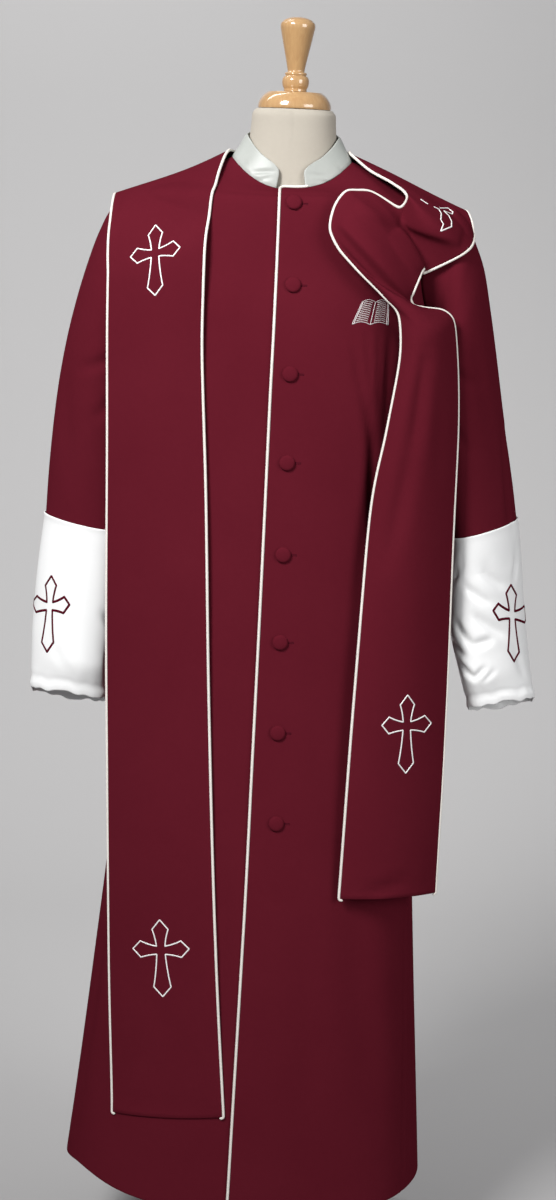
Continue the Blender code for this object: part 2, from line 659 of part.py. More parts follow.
def stole_panel(table, side, tree):
    """Rows of a stole half from the centre back to its end, laid on what it touches."""
    flat = [[*rib.inner, *rib.middle, *rib.outer] for rib in table]
    places = [
        number + step / rib.rows for number, rib in enumerate(table[:-1]) for step in range(rib.rows)
    ]
    grid = []
    for place in [*places, len(table) - 1]:
        inner, middle, outer = smooth(flat, place).reshape(3, 3)
        points = []
        for share in np.linspace(0, 1, STOLE_COLUMNS + 1):
            bow = 4 * share * (1 - share)
            point = inner * (1 - share) + outer * share + bow * (middle - (inner + outer) / 2)
            points.append(Vector((side * point[0], point[1], point[2])))
        grid.append(points)
    settle(grid, tree, PIPING_RADIUS + SEAM_GAP + STOLE_CLOTH / 2)
    for point in grid[0]:
        point.x = side * SEAM_GAP / 2
    return Panel(grid, [[side * way for way in row] for row in grid_normals(grid)])


def edge_cord(stole, column, inward, side, tree):
    """Middle line of the piping beside one long edge of a stole, down to its end."""
    points = []
    last = len(stole.points) - 1
    for index, (row, ways) in enumerate(zip(stole.points, stole.normals)):
        after, before = stole.points[min(index + 1, last)], stole.points[max(index - 1, 0)]
        along = (after[column] - before[column]).normalized()
        away = row[column] - row[inward]
        away = (away - along * away.dot(along)).normalized()
        level = row[column] - ways[column] * STOLE_CLOTH / 2
        points.append(level + away * (PIPING_RADIUS + SEAM_GAP))
    points[0].x += side * CENTRE_BACK_START
    return settle([points], tree, PIPING_RADIUS + SEAM_GAP)[0]


def build_stole(name, table, side, under):
    stole = stole_panel(table, side, tree_of(*under))
    cloth = stole.build(name, STOLE_CLOTH, "burgundy_cloth")
    around = tree_of(*under, walls=[cloth])
    for word, column, inward in (("inner", 0, 1), ("outer", -1, -2)):
        cord = edge_cord(stole, column, inward, side, around)
        tube(f"{name}_piping_{word}", cord, PIPING_RADIUS, "white_piping")


def build_front_piping(tree):
    """Piping beside the lap edge from the hem to the neck, then round the neckline to the collar's end."""
    aside = PIPING_RADIUS + SEAM_GAP
    points = []
    for level in panel_levels()[:-1]:
        x = body_level(level).lap_edge - aside
        points.append(body_point(level, angle_at(level, x), PIPING_RADIUS + LAP_GAP))
    corner = body_point(NECK, angle_at(NECK, body_level(NECK).lap_edge), CLOTH + LAP_GAP)
    points.append(corner + Vector((-PIPING_CORNER_STEP, 0.0, PIPING_RADIUS)))
    for degrees in NECKLINE_PIPING_DEGREES:
        points.append(body_point(NECK, math.radians(degrees), CLOTH + LAP_GAP + PIPING_RADIUS))
    tube("front_piping", settle([points], tree, aside)[0], PIPING_RADIUS, "white_piping")


def build_buttons():
    """Covered buttons down the lap, each square to the cloth under it."""
    levels = np.linspace(0, NECK, BUTTON_SEARCH_LEVELS)
    heights = [body_shape(level, 0).z for level in levels]
    for number, spot in enumerate(BUTTONS):
        level = float(np.interp(spot.height, heights, levels))
        angle = angle_at(level, spot.x)
        button = turned(f"button_{number + 1}", BUTTON, "burgundy_cloth", BUTTON_STEPS)
        button.location = body_point(level, angle, CLOTH + LAP_GAP + BUTTON_CLEARANCE)
        button.rotation_mode = "QUATERNION"
        button.rotation_quaternion = Vector((0, 0, 1)).rotation_difference(body_normal(level, angle))


def round_angles(level):
    """Angles all round the body, on the columns of its panels, from the lap to the wearer's left."""
    past_lap = front_angles(level, -1)[:len(LAP_COLUMNS):-1]
    return [*front_angles(level, 1), *back_angles(level)[1:-1], *past_lap]


def build_form():
    """Linen torso of the form, inside the robe and on its columns, with its neck."""
    rings = []
    for level in panel_levels()[FORM_FIRST_LEVEL:-1]:
        inset = CLOTH + float(np.interp(level, FORM_PLACES, FORM_CLEARANCES))
        rings.append([body_point(level, angle, -inset) for angle in round_angles(level)])
    rings[0] = [Vector((point.x, point.y, FORM_BOTTOM)) for point in rings[0]]
    for neck in FORM_NECK:
        rings.append([neck_point(neck, angle) for angle in round_angles(NECK)])
    solid_loft("form_torso", rings, "form_linen")
    turned("neck_cap", NECK_CAP, "maple_wood", CAP_STEPS)
    turned("neck_finial", FINIAL, "maple_wood", FINIAL_STEPS)


def build_stand():
    """Round base and the pole that carries the form."""
    turned("stand_base", STAND_BASE, "stand_metal", BASE_STEPS)
    bottom, top = BASE_HEIGHT + SEAM_GAP, FORM_BOTTOM - SEAM_GAP
    bpy.ops.mesh.primitive_cylinder_add(
        vertices=POLE_SIDES, radius=POLE_RADIUS, depth=top - bottom, location=(0, 0, (bottom + top) / 2)
    )
    pole = bpy.context.object
    pole.name = "stand_pole"
    for holder in pole.users_collection:
        holder.objects.unlink(pole)
    place(pole, "stand_metal")


def make_materials():
    for name, (colour, roughness, metallic) in FINISHES.items():
        material = bpy.data.materials.new(name)
        material.use_nodes = True
        shader = material.node_tree.nodes["Principled BSDF"]
        shader.inputs["Base Color"].default_value = (*colour, 1)
        shader.inputs["Roughness"].default_value = roughness
        shader.inputs["Metallic"].default_value = metallic


def main():
    """Clears the scene, then builds the stand and form, the robe, its trim and the stole."""
    for old in list(bpy.data.objects):
        bpy.data.objects.remove(old, do_unlink=True)
    bpy.context.scene.collection.children.link(bpy.data.collections.new(COLLECTION))
    make_materials()

    build_stand()
    build_form()
    left, right, back, collar = front_panel(1), front_panel(-1), back_panel(), collar_panel()
    left.build("front_left", CLOTH, "burgundy_cloth")
    right.build("front_right", CLOTH, "burgundy_cloth")
    back.build("robe_back", CLOTH, "burgundy_cloth")
    collar.build("collar", CLOTH, "white_satin")
    panels = [left, right, back, collar]
    for word, side, sleeve_table, cuff_table in (
        ("right", -1, RIGHT_SLEEVE, RIGHT_CUFF),
        ("left", 1, LEFT_SLEEVE, LEFT_CUFF),
    ):
        sleeve = sleeve_panel(sleeve_table, side)
        sleeve.build(f"sleeve_{word}", CLOTH, "burgundy_cloth")
        cuff = cuff_panel(sleeve, cuff_table, side)
        cuff.build(f"cuff_{word}", CLOTH, "white_satin")
        panels += [sleeve, cuff]
    build_front_piping(tree_of(left, right, collar))
    build_buttons()
    build_stole("stole_right", RIGHT_STOLE, -1, panels)
    build_stole("stole_left", LEFT_STOLE, 1, panels)


main()
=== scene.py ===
"""Clergy robe with a piped stole, buttoned on a limbless dress form, dressed for a studio view.

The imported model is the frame. Each cloth piece here is a thin shell on the surface of its own solid,
worked out from the same sizes, with the creases, seams, stitching and finishes that the solids leave
out. Metres, +Z up, the front faces -Y and +X is the wearer's left.
"""

from __future__ import annotations

import logging
import math
from collections.abc import Sequence
from dataclasses import dataclass, field
from enum import Enum
from typing import NamedTuple

import bmesh
import bpy
import numpy as np
from mathutils import Matrix, Vector
from mathutils.bvhtree import BVHTree


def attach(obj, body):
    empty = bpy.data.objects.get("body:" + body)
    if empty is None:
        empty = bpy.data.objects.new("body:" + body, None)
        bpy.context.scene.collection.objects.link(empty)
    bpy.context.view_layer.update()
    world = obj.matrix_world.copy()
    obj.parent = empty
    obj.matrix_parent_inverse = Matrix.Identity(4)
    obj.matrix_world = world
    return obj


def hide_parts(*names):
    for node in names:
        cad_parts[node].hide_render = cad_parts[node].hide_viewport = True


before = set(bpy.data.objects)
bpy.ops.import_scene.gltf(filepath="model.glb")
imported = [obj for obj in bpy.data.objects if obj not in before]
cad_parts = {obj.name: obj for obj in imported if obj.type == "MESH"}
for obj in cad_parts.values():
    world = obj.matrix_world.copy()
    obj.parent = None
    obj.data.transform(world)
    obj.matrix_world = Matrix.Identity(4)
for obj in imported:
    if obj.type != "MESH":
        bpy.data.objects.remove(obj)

LOG = logging.getLogger("clergy_robe")
CLOTH_MAP = "cloth"

# Thicknesses and cords, as in the solids
CLOTH = 0.002
STOLE_CLOTH = 0.0016
LAP_GAP = 0.0005
SEAM_GAP = 0.0003
PIPING_RADIUS = 0.0022

# Share of its radius by which a cord's middle stands off the edge that it is sewn to
PIPING_SEAT = 0.9

# Rise on both sides of a crease, as a share of its depth, and its spread in widths of the crease
CREASE_SHOULDER = 0.45
CREASE_SPREAD = 2.2

# How far a cloth's edge is rounded out, as a share of its thickness
EDGE_BULGE = 0.4


class Finish(Enum):
    """Finishes, each with the name of its material and the record's slot that it takes."""

    CLOTH = ("burgundy polyester", "burgundy_cloth")
    SATIN = ("white satin", "white_satin")
    # The collar's satin is the white satin painted a darker grey: painted shade on the collar.
    COLLAR_SATIN = ("collar satin", "white_satin")
    PIPING = ("twisted piping", "white_piping")
    LINEN = ("form linen", "form_linen")
    MAPLE = ("varnished maple", "maple_wood")
    METAL = ("grey paint", "stand_metal")
    WHITE_THREAD = ("white thread", "white_piping")
    BURGUNDY_THREAD = ("burgundy thread", "burgundy_cloth")
    SILVER_THREAD = ("silver thread", "white_piping")
    # Buttonhole thread is real stitching, painted darker than the cloth as painted shade of the slit
    # between its edges.
    HOLE_THREAD_SLIT_SHADE = ("buttonhole thread", "burgundy_cloth")

    @property
    def material(self) -> str:
        """Name of its material."""
        return self.value[0]

    @property
    def slot(self) -> str:
        """The record's slot."""
        return self.value[1]


class Held(Enum):
    """Ways in which a sheet of cloth is held."""

    HUNG = "hung"
    DRAPED = "draped"


class Side(Enum):
    """The wearer's sides, as the sign of X."""

    RIGHT = -1
    LEFT = 1

    @property
    def word(self) -> str:
        """Name of the side in piece names."""
        return self.name.lower()


class Level(NamedTuple):
    """One level of the robe's body: its size, neckline dips, middle, lap edge and fold depth."""

    height: float
    half_width: float
    front: float
    back: float
    front_drop: float
    back_rise: float
    centre: float
    lap_edge: float
    fold: float


class Ring(NamedTuple):
    """One ring of a sleeve or cuff: outer and inner points, half its depth, middle and lean."""

    outer: float
    outer_height: float
    inner: float
    inner_height: float
    half_depth: float
    middle: float
    lean: float


class Band(NamedTuple):
    """One row of the collar band, with its front opening in degrees."""

    half_width: float
    front: float
    back: float
    height: float
    front_drop: float
    back_rise: float
    opening: float


class Rib(NamedTuple):
    """One rib across a stole, with its rows to the next: inner edge, middle and outer edge."""

    rows: int
    inner: tuple[float, float, float]
    middle: tuple[float, float, float]
    outer: tuple[float, float, float]


class Crease(NamedTuple):
    """Soft trough (or ridge, with a depth below 0) from one place on a cloth to another.

    Places are degrees round the piece, or metres across a stole, and a height.
    """

    turn: float
    height: float
    turn_end: float
    height_end: float
    depth: float
    width: float


class Fold(NamedTuple):
    """Rounded fold that stands up from a cloth, steep on the right of its run and soft on the left.

    Places are metres across and up. The two widths are those of its slopes.
    """

    x: float
    z: float
    x_end: float
    z_end: float
    height: float
    steep: float
    soft: float


class Lamp(NamedTuple):
    """Area light: its place, what it is aimed at, its size, its power and its spread in degrees."""

    name: str
    place: tuple[float, float, float]
    aim: tuple[float, float, float]
    size: float
    power: float
    spread: float


class ButtonSpot(NamedTuple):
    """How far a button is from the middle plane, and its height."""

    x: float
    height: float


def monotone(table: Sequence[Sequence[float]], places: np.ndarray) -> np.ndarray:
    """Rows of numbers at fractional places in a table, on curves that stay between its rows.

    Args:
        table: Rows of equal length.
        places: Places from 0 to the last row's number.

    Returns:
        One row for each place.
    """
    values = np.array(table, float)
    steps = np.diff(values, axis=0)
    before, after = steps[:-1], steps[1:]
    same_way = before * after > 0
    slopes = np.empty_like(values)
    slopes[0], slopes[-1] = steps[0], steps[-1]
    slopes[1:-1] = np.where(same_way, 2 * before * after / np.where(same_way, before + after, 1), 0)
    rows = np.clip(places.astype(int), 0, len(steps) - 1)
    t = (places - rows)[:, None]
    rise = t * t * (3 - 2 * t)
    return (
        values[rows] * (1 - rise)
        + values[rows + 1] * rise
        + slopes[rows] * t * (1 - t) ** 2
        - slopes[rows + 1] * t * t * (1 - t)
    )


def spaced_shares(count: int, margin: float) -> np.ndarray:
    """Shares from 0 to 1 with a narrow first and last step, so that an edge stays crisp."""
    return np.concatenate([[0.0], np.linspace(margin, 1 - margin, count), [1.0]])


def smoothstep(low: float, high: float, values: np.ndarray) -> np.ndarray:
    """Smooth rise from 0 at low to 1 at high."""
    t = np.clip((values - low) / (high - low), 0, 1)
    return t * t * (3 - 2 * t)


def bell(values: np.ndarray, width: float | np.ndarray, middle: float | np.ndarray = 0.0) -> np.ndarray:
    """Bell-shaped rise that is 1 at its middle and fades over its width."""
    return np.exp(-(((values - middle) / width) ** 2))


def full_turn(count: int) -> np.ndarray:
    """Even angles once round, from 0."""
    return np.linspace(0, 2 * math.pi, count, endpoint=False)


def lengths_along(path: np.ndarray) -> np.ndarray:
    """Distance along a path to each of its points."""
    return np.pad(np.cumsum(np.linalg.norm(np.diff(path, axis=0), axis=1)), (1, 0))


@dataclass
class Cloth:
    """Grid of points on a cloth's outer face, with the direction that the face looks at each."""

    points: np.ndarray
    closed: bool = False
    normals: np.ndarray = field(init=False)

    def __post_init__(self) -> None:
        """Works out the outward directions."""
        self.refresh()

    def refresh(self) -> None:
        """Works out the outward directions again, after the points have moved."""
        down = np.gradient(self.points, axis=0)
        if self.closed:
            across = (np.roll(self.points, -1, axis=1) - np.roll(self.points, 1, axis=1)) / 2
        else:
            across = np.gradient(self.points, axis=1)
        normals = np.cross(down, across)
        normals /= np.maximum(np.linalg.norm(normals, axis=2, keepdims=True), 1e-12)
        middle = self.points.mean(axis=1, keepdims=True) if self.closed else axis_of(self.points)
        if ((self.points - middle) * normals).sum() < 0:
            normals = -normals
        self.normals = normals

    def lift(self, distance: np.ndarray) -> None:
        """Moves the points out by a distance at each."""
        self.points = self.points + distance[..., None] * self.normals
        self.refresh()

    def lengths(self) -> tuple[np.ndarray, np.ndarray]:
        """Distances along the cloth, across each row and down each column.

        Returns:
            The distance from the first column and from the first row, at each point.
        """
        across = np.linalg.norm(np.diff(self.points, axis=1), axis=2)
        down = np.linalg.norm(np.diff(self.points, axis=0), axis=2)
        along_row = np.pad(np.cumsum(across, axis=1), ((0, 0), (1, 0)))
        along_column = np.pad(np.cumsum(down, axis=0), ((1, 0), (0, 0)))
        return along_row, along_column

    def cut(self) -> tuple[tuple[float, float], float]:
        """Flat cut of the cloth before it was sewn.

        Returns:
            The width and length of the rectangle that holds the cut, and the cut's own area.
        """
        along_row, along_column = self.lengths()
        width = float(along_row[:, -1].max())
        if self.closed:
            width += float(np.linalg.norm(self.points[:, 0] - self.points[:, -1], axis=1).max())
        length = float(along_column[-1].max())
        return (round(width, 3), round(length, 3)), self.area()

    def area(self) -> float:
        """Area of the outer face in square metres."""
        grid = self.points
        if self.closed:
            grid = np.concatenate([grid, grid[:, :1]], axis=1)
        first = grid[1:, 1:] - grid[:-1, :-1]
        second = grid[1:, :-1] - grid[:-1, 1:]
        return float(np.linalg.norm(np.cross(first, second), axis=2).sum() / 2)

    def quads(self) -> np.ndarray:
        """Corner numbers of each cell of the outer face, in outward order."""
        rows, columns = self.points.shape[:2]
        numbers = np.arange(rows * columns).reshape(rows, columns)
        following = np.roll(numbers, -1, axis=1) if self.closed else numbers[:, 1:]
        here = numbers if self.closed else numbers[:, :-1]
        cells = np.stack([here[:-1], following[:-1], following[1:], here[1:]], axis=-1).reshape(-1, 4)
        points = self.points.reshape(-1, 3)
        falling = points[cells[:, 2]] - points[cells[:, 0]]
        rising = points[cells[:, 3]] - points[cells[:, 1]]
        facing = np.cross(falling, rising)
        inward = (facing * self.normals.reshape(-1, 3)[cells[:, 0]]).sum(axis=1) < 0
        return np.where(inward[:, None], cells[:, ::-1], cells)


def axis_of(points: np.ndarray) -> np.ndarray:
    """Points of the body's upright middle line at the heights of these points."""
    middle = points.copy()
    middle[..., :2] = 0
    return middle


def tree_of(cloths: Sequence[Cloth]) -> BVHTree:
    """Search tree over the outer faces of cloths, to lay pieces on."""
    points = []
    faces = []
    start = 0
    for cloth in cloths:
        flat = cloth.points.reshape(-1, 3)
        points.append(flat)
        faces.append(cloth.quads() + start)
        start += len(flat)
    return BVHTree.FromPolygons(np.concatenate(points).tolist(), np.concatenate(faces).tolist())


def push_out(point: Vector, tree: BVHTree, distance: float) -> Vector:
    """Place of a point once it lies at least this distance out from the faces of a tree."""
    near, normal, _, gap = tree.find_nearest(point)
    if near is None:
        return point
    outside = (point - near).dot(normal) >= 0
    if outside and gap >= distance:
        return point
    way = (point - near).normalized() if outside and gap > 1e-5 else normal
    return near + way * distance


def settle(points: np.ndarray, tree: BVHTree, distance: float, rounds: int = 3) -> np.ndarray:
    """Moves points out until they lie clear of a tree's faces.

    Args:
        points: Points in an array whose last side is 3 long.
        tree: Faces to lie on.
        distance: Least distance from them.
        rounds: Times that every point is looked at.

    Returns:
        The moved points, in the same shape.
    """
    flat = points.reshape(-1, 3)
    for _ in range(rounds):
        flat = np.array([push_out(Vector(point), tree, distance)[:] for point in flat])
    return flat.reshape(points.shape)


def crease_lift(
    creases: Sequence[Crease], turn: np.ndarray, height: np.ndarray, metres_per_degree: float
) -> np.ndarray:
    """How far creases move a cloth out or in.

    Args:
        creases: Troughs and ridges.
        turn: Degrees round the piece at each point.
        height: Height of each point.
        metres_per_degree: Length of cloth in a degree.

    Returns:
        The lift at each point.
    """
    total = np.zeros(height.shape)
    for crease in creases:
        start = np.array([crease.turn * metres_per_degree, crease.height])
        way = np.array([crease.turn_end * metres_per_degree, crease.height_end]) - start
        place = np.stack([turn * metres_per_degree, height], axis=-1) - start
        along = np.clip((place @ way) / (way @ way), 0, 1)
        away = np.linalg.norm(place - along[..., None] * way, axis=-1) / crease.width
        taper = np.sqrt(np.sin(math.pi * np.clip(along, 0.02, 0.98)))
        shoulders = CREASE_SHOULDER * bell(away, CREASE_SPREAD)
        total += crease.depth * taper * (shoulders - (1 + CREASE_SHOULDER) * bell(away, 1))
    return total


def fold_lift(folds: Sequence[Fold], x: np.ndarray, z: np.ndarray) -> np.ndarray:
    """How far folds stand up from a cloth.

    Args:
        folds: Folds on it.
        x: Metres across at each point.
        z: Height of each point.

    Returns:
        The lift at each point.
    """
    total = np.zeros(x.shape)
    for fold in folds:
        way = np.array([fold.x_end - fold.x, fold.z_end - fold.z])
        length = np.linalg.norm(way)
        place = np.stack([x - fold.x, z - fold.z], axis=-1)
        along = place @ way / length**2
        aside = (place[..., 1] * way[0] - place[..., 0] * way[1]) / length
        width = np.where(aside < 0, fold.steep, fold.soft)
        taper = np.sqrt(np.sin(math.pi * np.clip(along, 0, 1)))
        total = np.maximum(total, fold.height * taper * bell(aside, width))
    return total


def new_piece(
    name: str, points: np.ndarray, faces: Sequence[Sequence[int]], places: np.ndarray, finish: Finish
) -> bpy.types.Object:
    """Mesh object with a cloth map and its material.

    Args:
        name: Name of the piece.
        points: Vertices.
        faces: Corner numbers of each face.
        places: Distance across and along the cloth at each vertex.
        finish: Its finish.

    Returns:
        The piece, which rides on the part's one body.
    """
    data = bpy.data.meshes.new(name)
    data.from_pydata(points.tolist(), [], [list(face) for face in faces])
    corners = np.zeros(len(data.loops), np.int32)
    data.loops.foreach_get("vertex_index", corners)
    layer = data.uv_layers.new(name=CLOTH_MAP)
    layer.data.foreach_set("uv", places[corners].astype(np.float32).ravel())
    data.shade_smooth()
    piece = bpy.data.objects.new(name, data)
    bpy.context.scene.collection.objects.link(piece)
    data.materials.append(bpy.data.materials[finish.material])
    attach(piece, "root")
    return piece


def grid_faces(numbers: np.ndarray, flip: bool = False) -> list[list[int]]:
    """Faces between the rows and columns of a grid of vertex numbers."""
    cells = np.stack([numbers[:-1, :-1], numbers[:-1, 1:], numbers[1:, 1:], numbers[1:, :-1]], axis=-1)
    cells = cells.reshape(-1, 4)
    return (cells[:, ::-1] if flip else cells).tolist()


def edge_way(points: np.ndarray, inner: np.ndarray) -> np.ndarray:
    """Unit directions out of a cloth at its edge, from the row or column inside it."""
    way = points - inner
    return way / np.maximum(np.linalg.norm(way, axis=-1, keepdims=True), 1e-9)


def build_shell(name: str, cloth: Cloth, thickness: float, finish: Finish) -> bpy.types.Object:
    """Thin shell with rounded edges between a cloth's outer face and the same face moved in.

    Args:
        name: Name of the piece.
        cloth: Its outer face.
        thickness: Thickness of the cloth.
        finish: Finish and material.

    Returns:
        The closed shell.
    """
    outer = cloth.points
    inner = outer - thickness * cloth.normals
    middle = (outer + inner) / 2
    bulge = thickness * EDGE_BULGE
    along_row, along_column = cloth.lengths()
    places = np.stack([along_row, along_column], axis=-1)
    if cloth.closed:
        turned = np.linalg.norm(outer[:, 0] - outer[:, -1], axis=1) + along_row[:, -1]
        seam = np.stack([turned, along_column[:, 0]], axis=-1)[:, None]
        places = np.concatenate([places, seam], axis=1)
        outer, inner, middle = (
            np.concatenate([grid, grid[:, :1]], axis=1) for grid in (outer, inner, middle)
        )
    else:
        left = middle[:, 0] + bulge * edge_way(outer[:, 0], outer[:, 1])
        right = middle[:, -1] + bulge * edge_way(outer[:, -1], outer[:, -2])
        outer = np.concatenate([left[:, None], outer, right[:, None]], axis=1)
        inner = np.concatenate([left[:, None], inner, right[:, None]], axis=1)
        middle = np.concatenate([left[:, None], middle, right[:, None]], axis=1)
        places = np.concatenate([places[:, :1], places, places[:, -1:]], axis=1)
    rims = [
        middle[0] + bulge * edge_way(outer[0], outer[1]),
        middle[-1] + bulge * edge_way(outer[-1], outer[-2]),
    ]
    rows, columns = outer.shape[:2]
    points = np.concatenate([outer.reshape(-1, 3), inner.reshape(-1, 3), *rims])
    outside = np.arange(rows * columns).reshape(rows, columns)
    inside = outside + rows * columns
    first = 2 * rows * columns + np.arange(columns)
    last = first + columns
    faces = grid_faces(outside) + grid_faces(inside, flip=True)
    faces += grid_faces(np.stack([first, outside[0]])) + grid_faces(np.stack([inside[0], first]))
    faces += grid_faces(np.stack([outside[-1], last])) + grid_faces(np.stack([last, inside[-1]]))
    flat = np.concatenate([places.reshape(-1, 2), places.reshape(-1, 2), places[0], places[-1]])
    piece = new_piece(name, points, faces, flat, finish)
    weld(piece)
    return piece


def weld(piece: bpy.types.Object) -> None:
    """Joins the doubled points of a piece and turns its faces outward."""
    mesh = bmesh.new()
    mesh.from_mesh(piece.data)
    bmesh.ops.remove_doubles(mesh, verts=mesh.verts, dist=0.00002)
    bmesh.ops.recalc_face_normals(mesh, faces=mesh.faces)
    mesh.to_mesh(piece.data)
    mesh.free()
    piece.data.shade_smooth()


def resample(path: np.ndarray, step: float) -> np.ndarray:
    """Points at even steps along a path."""
    distance = lengths_along(path)
    count = max(int(distance[-1] / step), 2)
    even = np.linspace(0, distance[-1], count + 1)
    return np.stack([np.interp(even, distance, path[:, axis]) for axis in range(3)], axis=-1)


def rounded_path(path: np.ndarray, rounds: int = 3) -> np.ndarray:
    """Path with its corners cut, and its ends kept."""
    for _ in range(rounds):
        first = path[:-1] * 0.75 + path[1:] * 0.25
        second = path[:-1] * 0.25 + path[1:] * 0.75
        path = np.concatenate([path[:1], np.stack([first, second], axis=1).reshape(-1, 3), path[-1:]])
    return path


def carried_frames(path: np.ndarray) -> tuple[np.ndarray, np.ndarray]:
    """Two directions square to a path at each point, carried along it without a twist.

    Args:
        path: Points along the path.

    Returns:
        The two directions at each point.
    """
    ways = np.gradient(path, axis=0)
    ways /= np.linalg.norm(ways, axis=1, keepdims=True)
    side = np.cross(ways[0], [0.0, 0.0, 1.0] if abs(ways[0][2]) < 0.9 else [0.0, 1.0, 0.0])
    sides = []
    for way in ways:
        side = side - way * (side @ way)
        side = side / np.linalg.norm(side)
        sides.append(side)
    sides = np.array(sides)
    return sides, np.cross(ways, sides)


@dataclass(frozen=True)
class TwistedCord:
    """Round cord of twisted strands, as piping shows."""

    radius: float = 0.0020
    strands: int = 3
    pitch: float = 0.0105
    groove: float = 0.10
    step: float = 0.0014
    sides: int = 12

    def build(self, name: str, path: np.ndarray, finish: Finish) -> bpy.types.Object:
        """Cord along a path, with rounded ends.

        Args:
            name: Name of the piece.
            path: Its middle line.
            finish: Finish and material.

        Returns:
            The closed cord.
        """
        line = resample(rounded_path(path), self.step)
        sides, ups = carried_frames(line)
        distance = lengths_along(line)
        turns = full_turn(self.sides)
        strand = turns[None, :] - 2 * math.pi * distance[:, None] / self.pitch
        radius = self.radius * (1 - self.groove * (1 - np.abs(np.cos(self.strands / 2 * strand))))
        to_end = np.minimum(distance, distance[-1] - distance)
        radius = radius * np.sqrt(np.clip(to_end / self.radius, 0.02, 1))[:, None]
        rings = (
            line[:, None]
            + (radius * np.cos(turns))[..., None] * sides[:, None]
            + (radius * np.sin(turns))[..., None] * ups[:, None]
        )
        rows = len(line)
        numbers = np.arange(rows * self.sides).reshape(rows, self.sides)
        faces = grid_faces(np.concatenate([numbers, numbers[:, :1]], axis=1))
        faces += [numbers[0].tolist(), numbers[-1][::-1].tolist()]
        places = np.stack(np.broadcast_arrays(turns[None] * self.radius, distance[:, None]), axis=-1)
        piece = new_piece(name, rings.reshape(-1, 3), faces, places.reshape(-1, 2), finish)
        weld(piece)
        return piece


def lathe(
    name: str, profile: Sequence[tuple[float, float]], steps: int, finish: Finish, rounds: int = 3
) -> bpy.types.Object:
    """Turned piece about the Z axis, from a profile of radii and heights with smooth runs.

    Args:
        name: Name of the piece.
        profile: Radius and height of each point, top to bottom, with both ends on the axis.
        steps: Points round it.
        finish: Its finish.
        rounds: Times that the profile's corners are cut.

    Returns:
        The closed piece.
    """
    path = np.array([(radius, 0, height) for radius, height in profile])
    path = rounded_path(path, rounds)
    turns = np.linspace(0, 2 * math.pi, steps + 1)
    points = np.stack([
        path[:, :1] * np.cos(turns),
        path[:, :1] * np.sin(turns),
        np.broadcast_to(path[:, 2:], (len(path), steps + 1)),
    ], axis=-1)
    numbers = np.arange(points.shape[0] * points.shape[1]).reshape(points.shape[:2])
    across = turns[None] * path[:, :1].max()
    places = np.stack(np.broadcast_arrays(across, lengths_along(path)[:, None]), axis=-1)
    piece = new_piece(name, points.reshape(-1, 3), grid_faces(numbers), places.reshape(-1, 2), finish)
    weld(piece)
    return piece


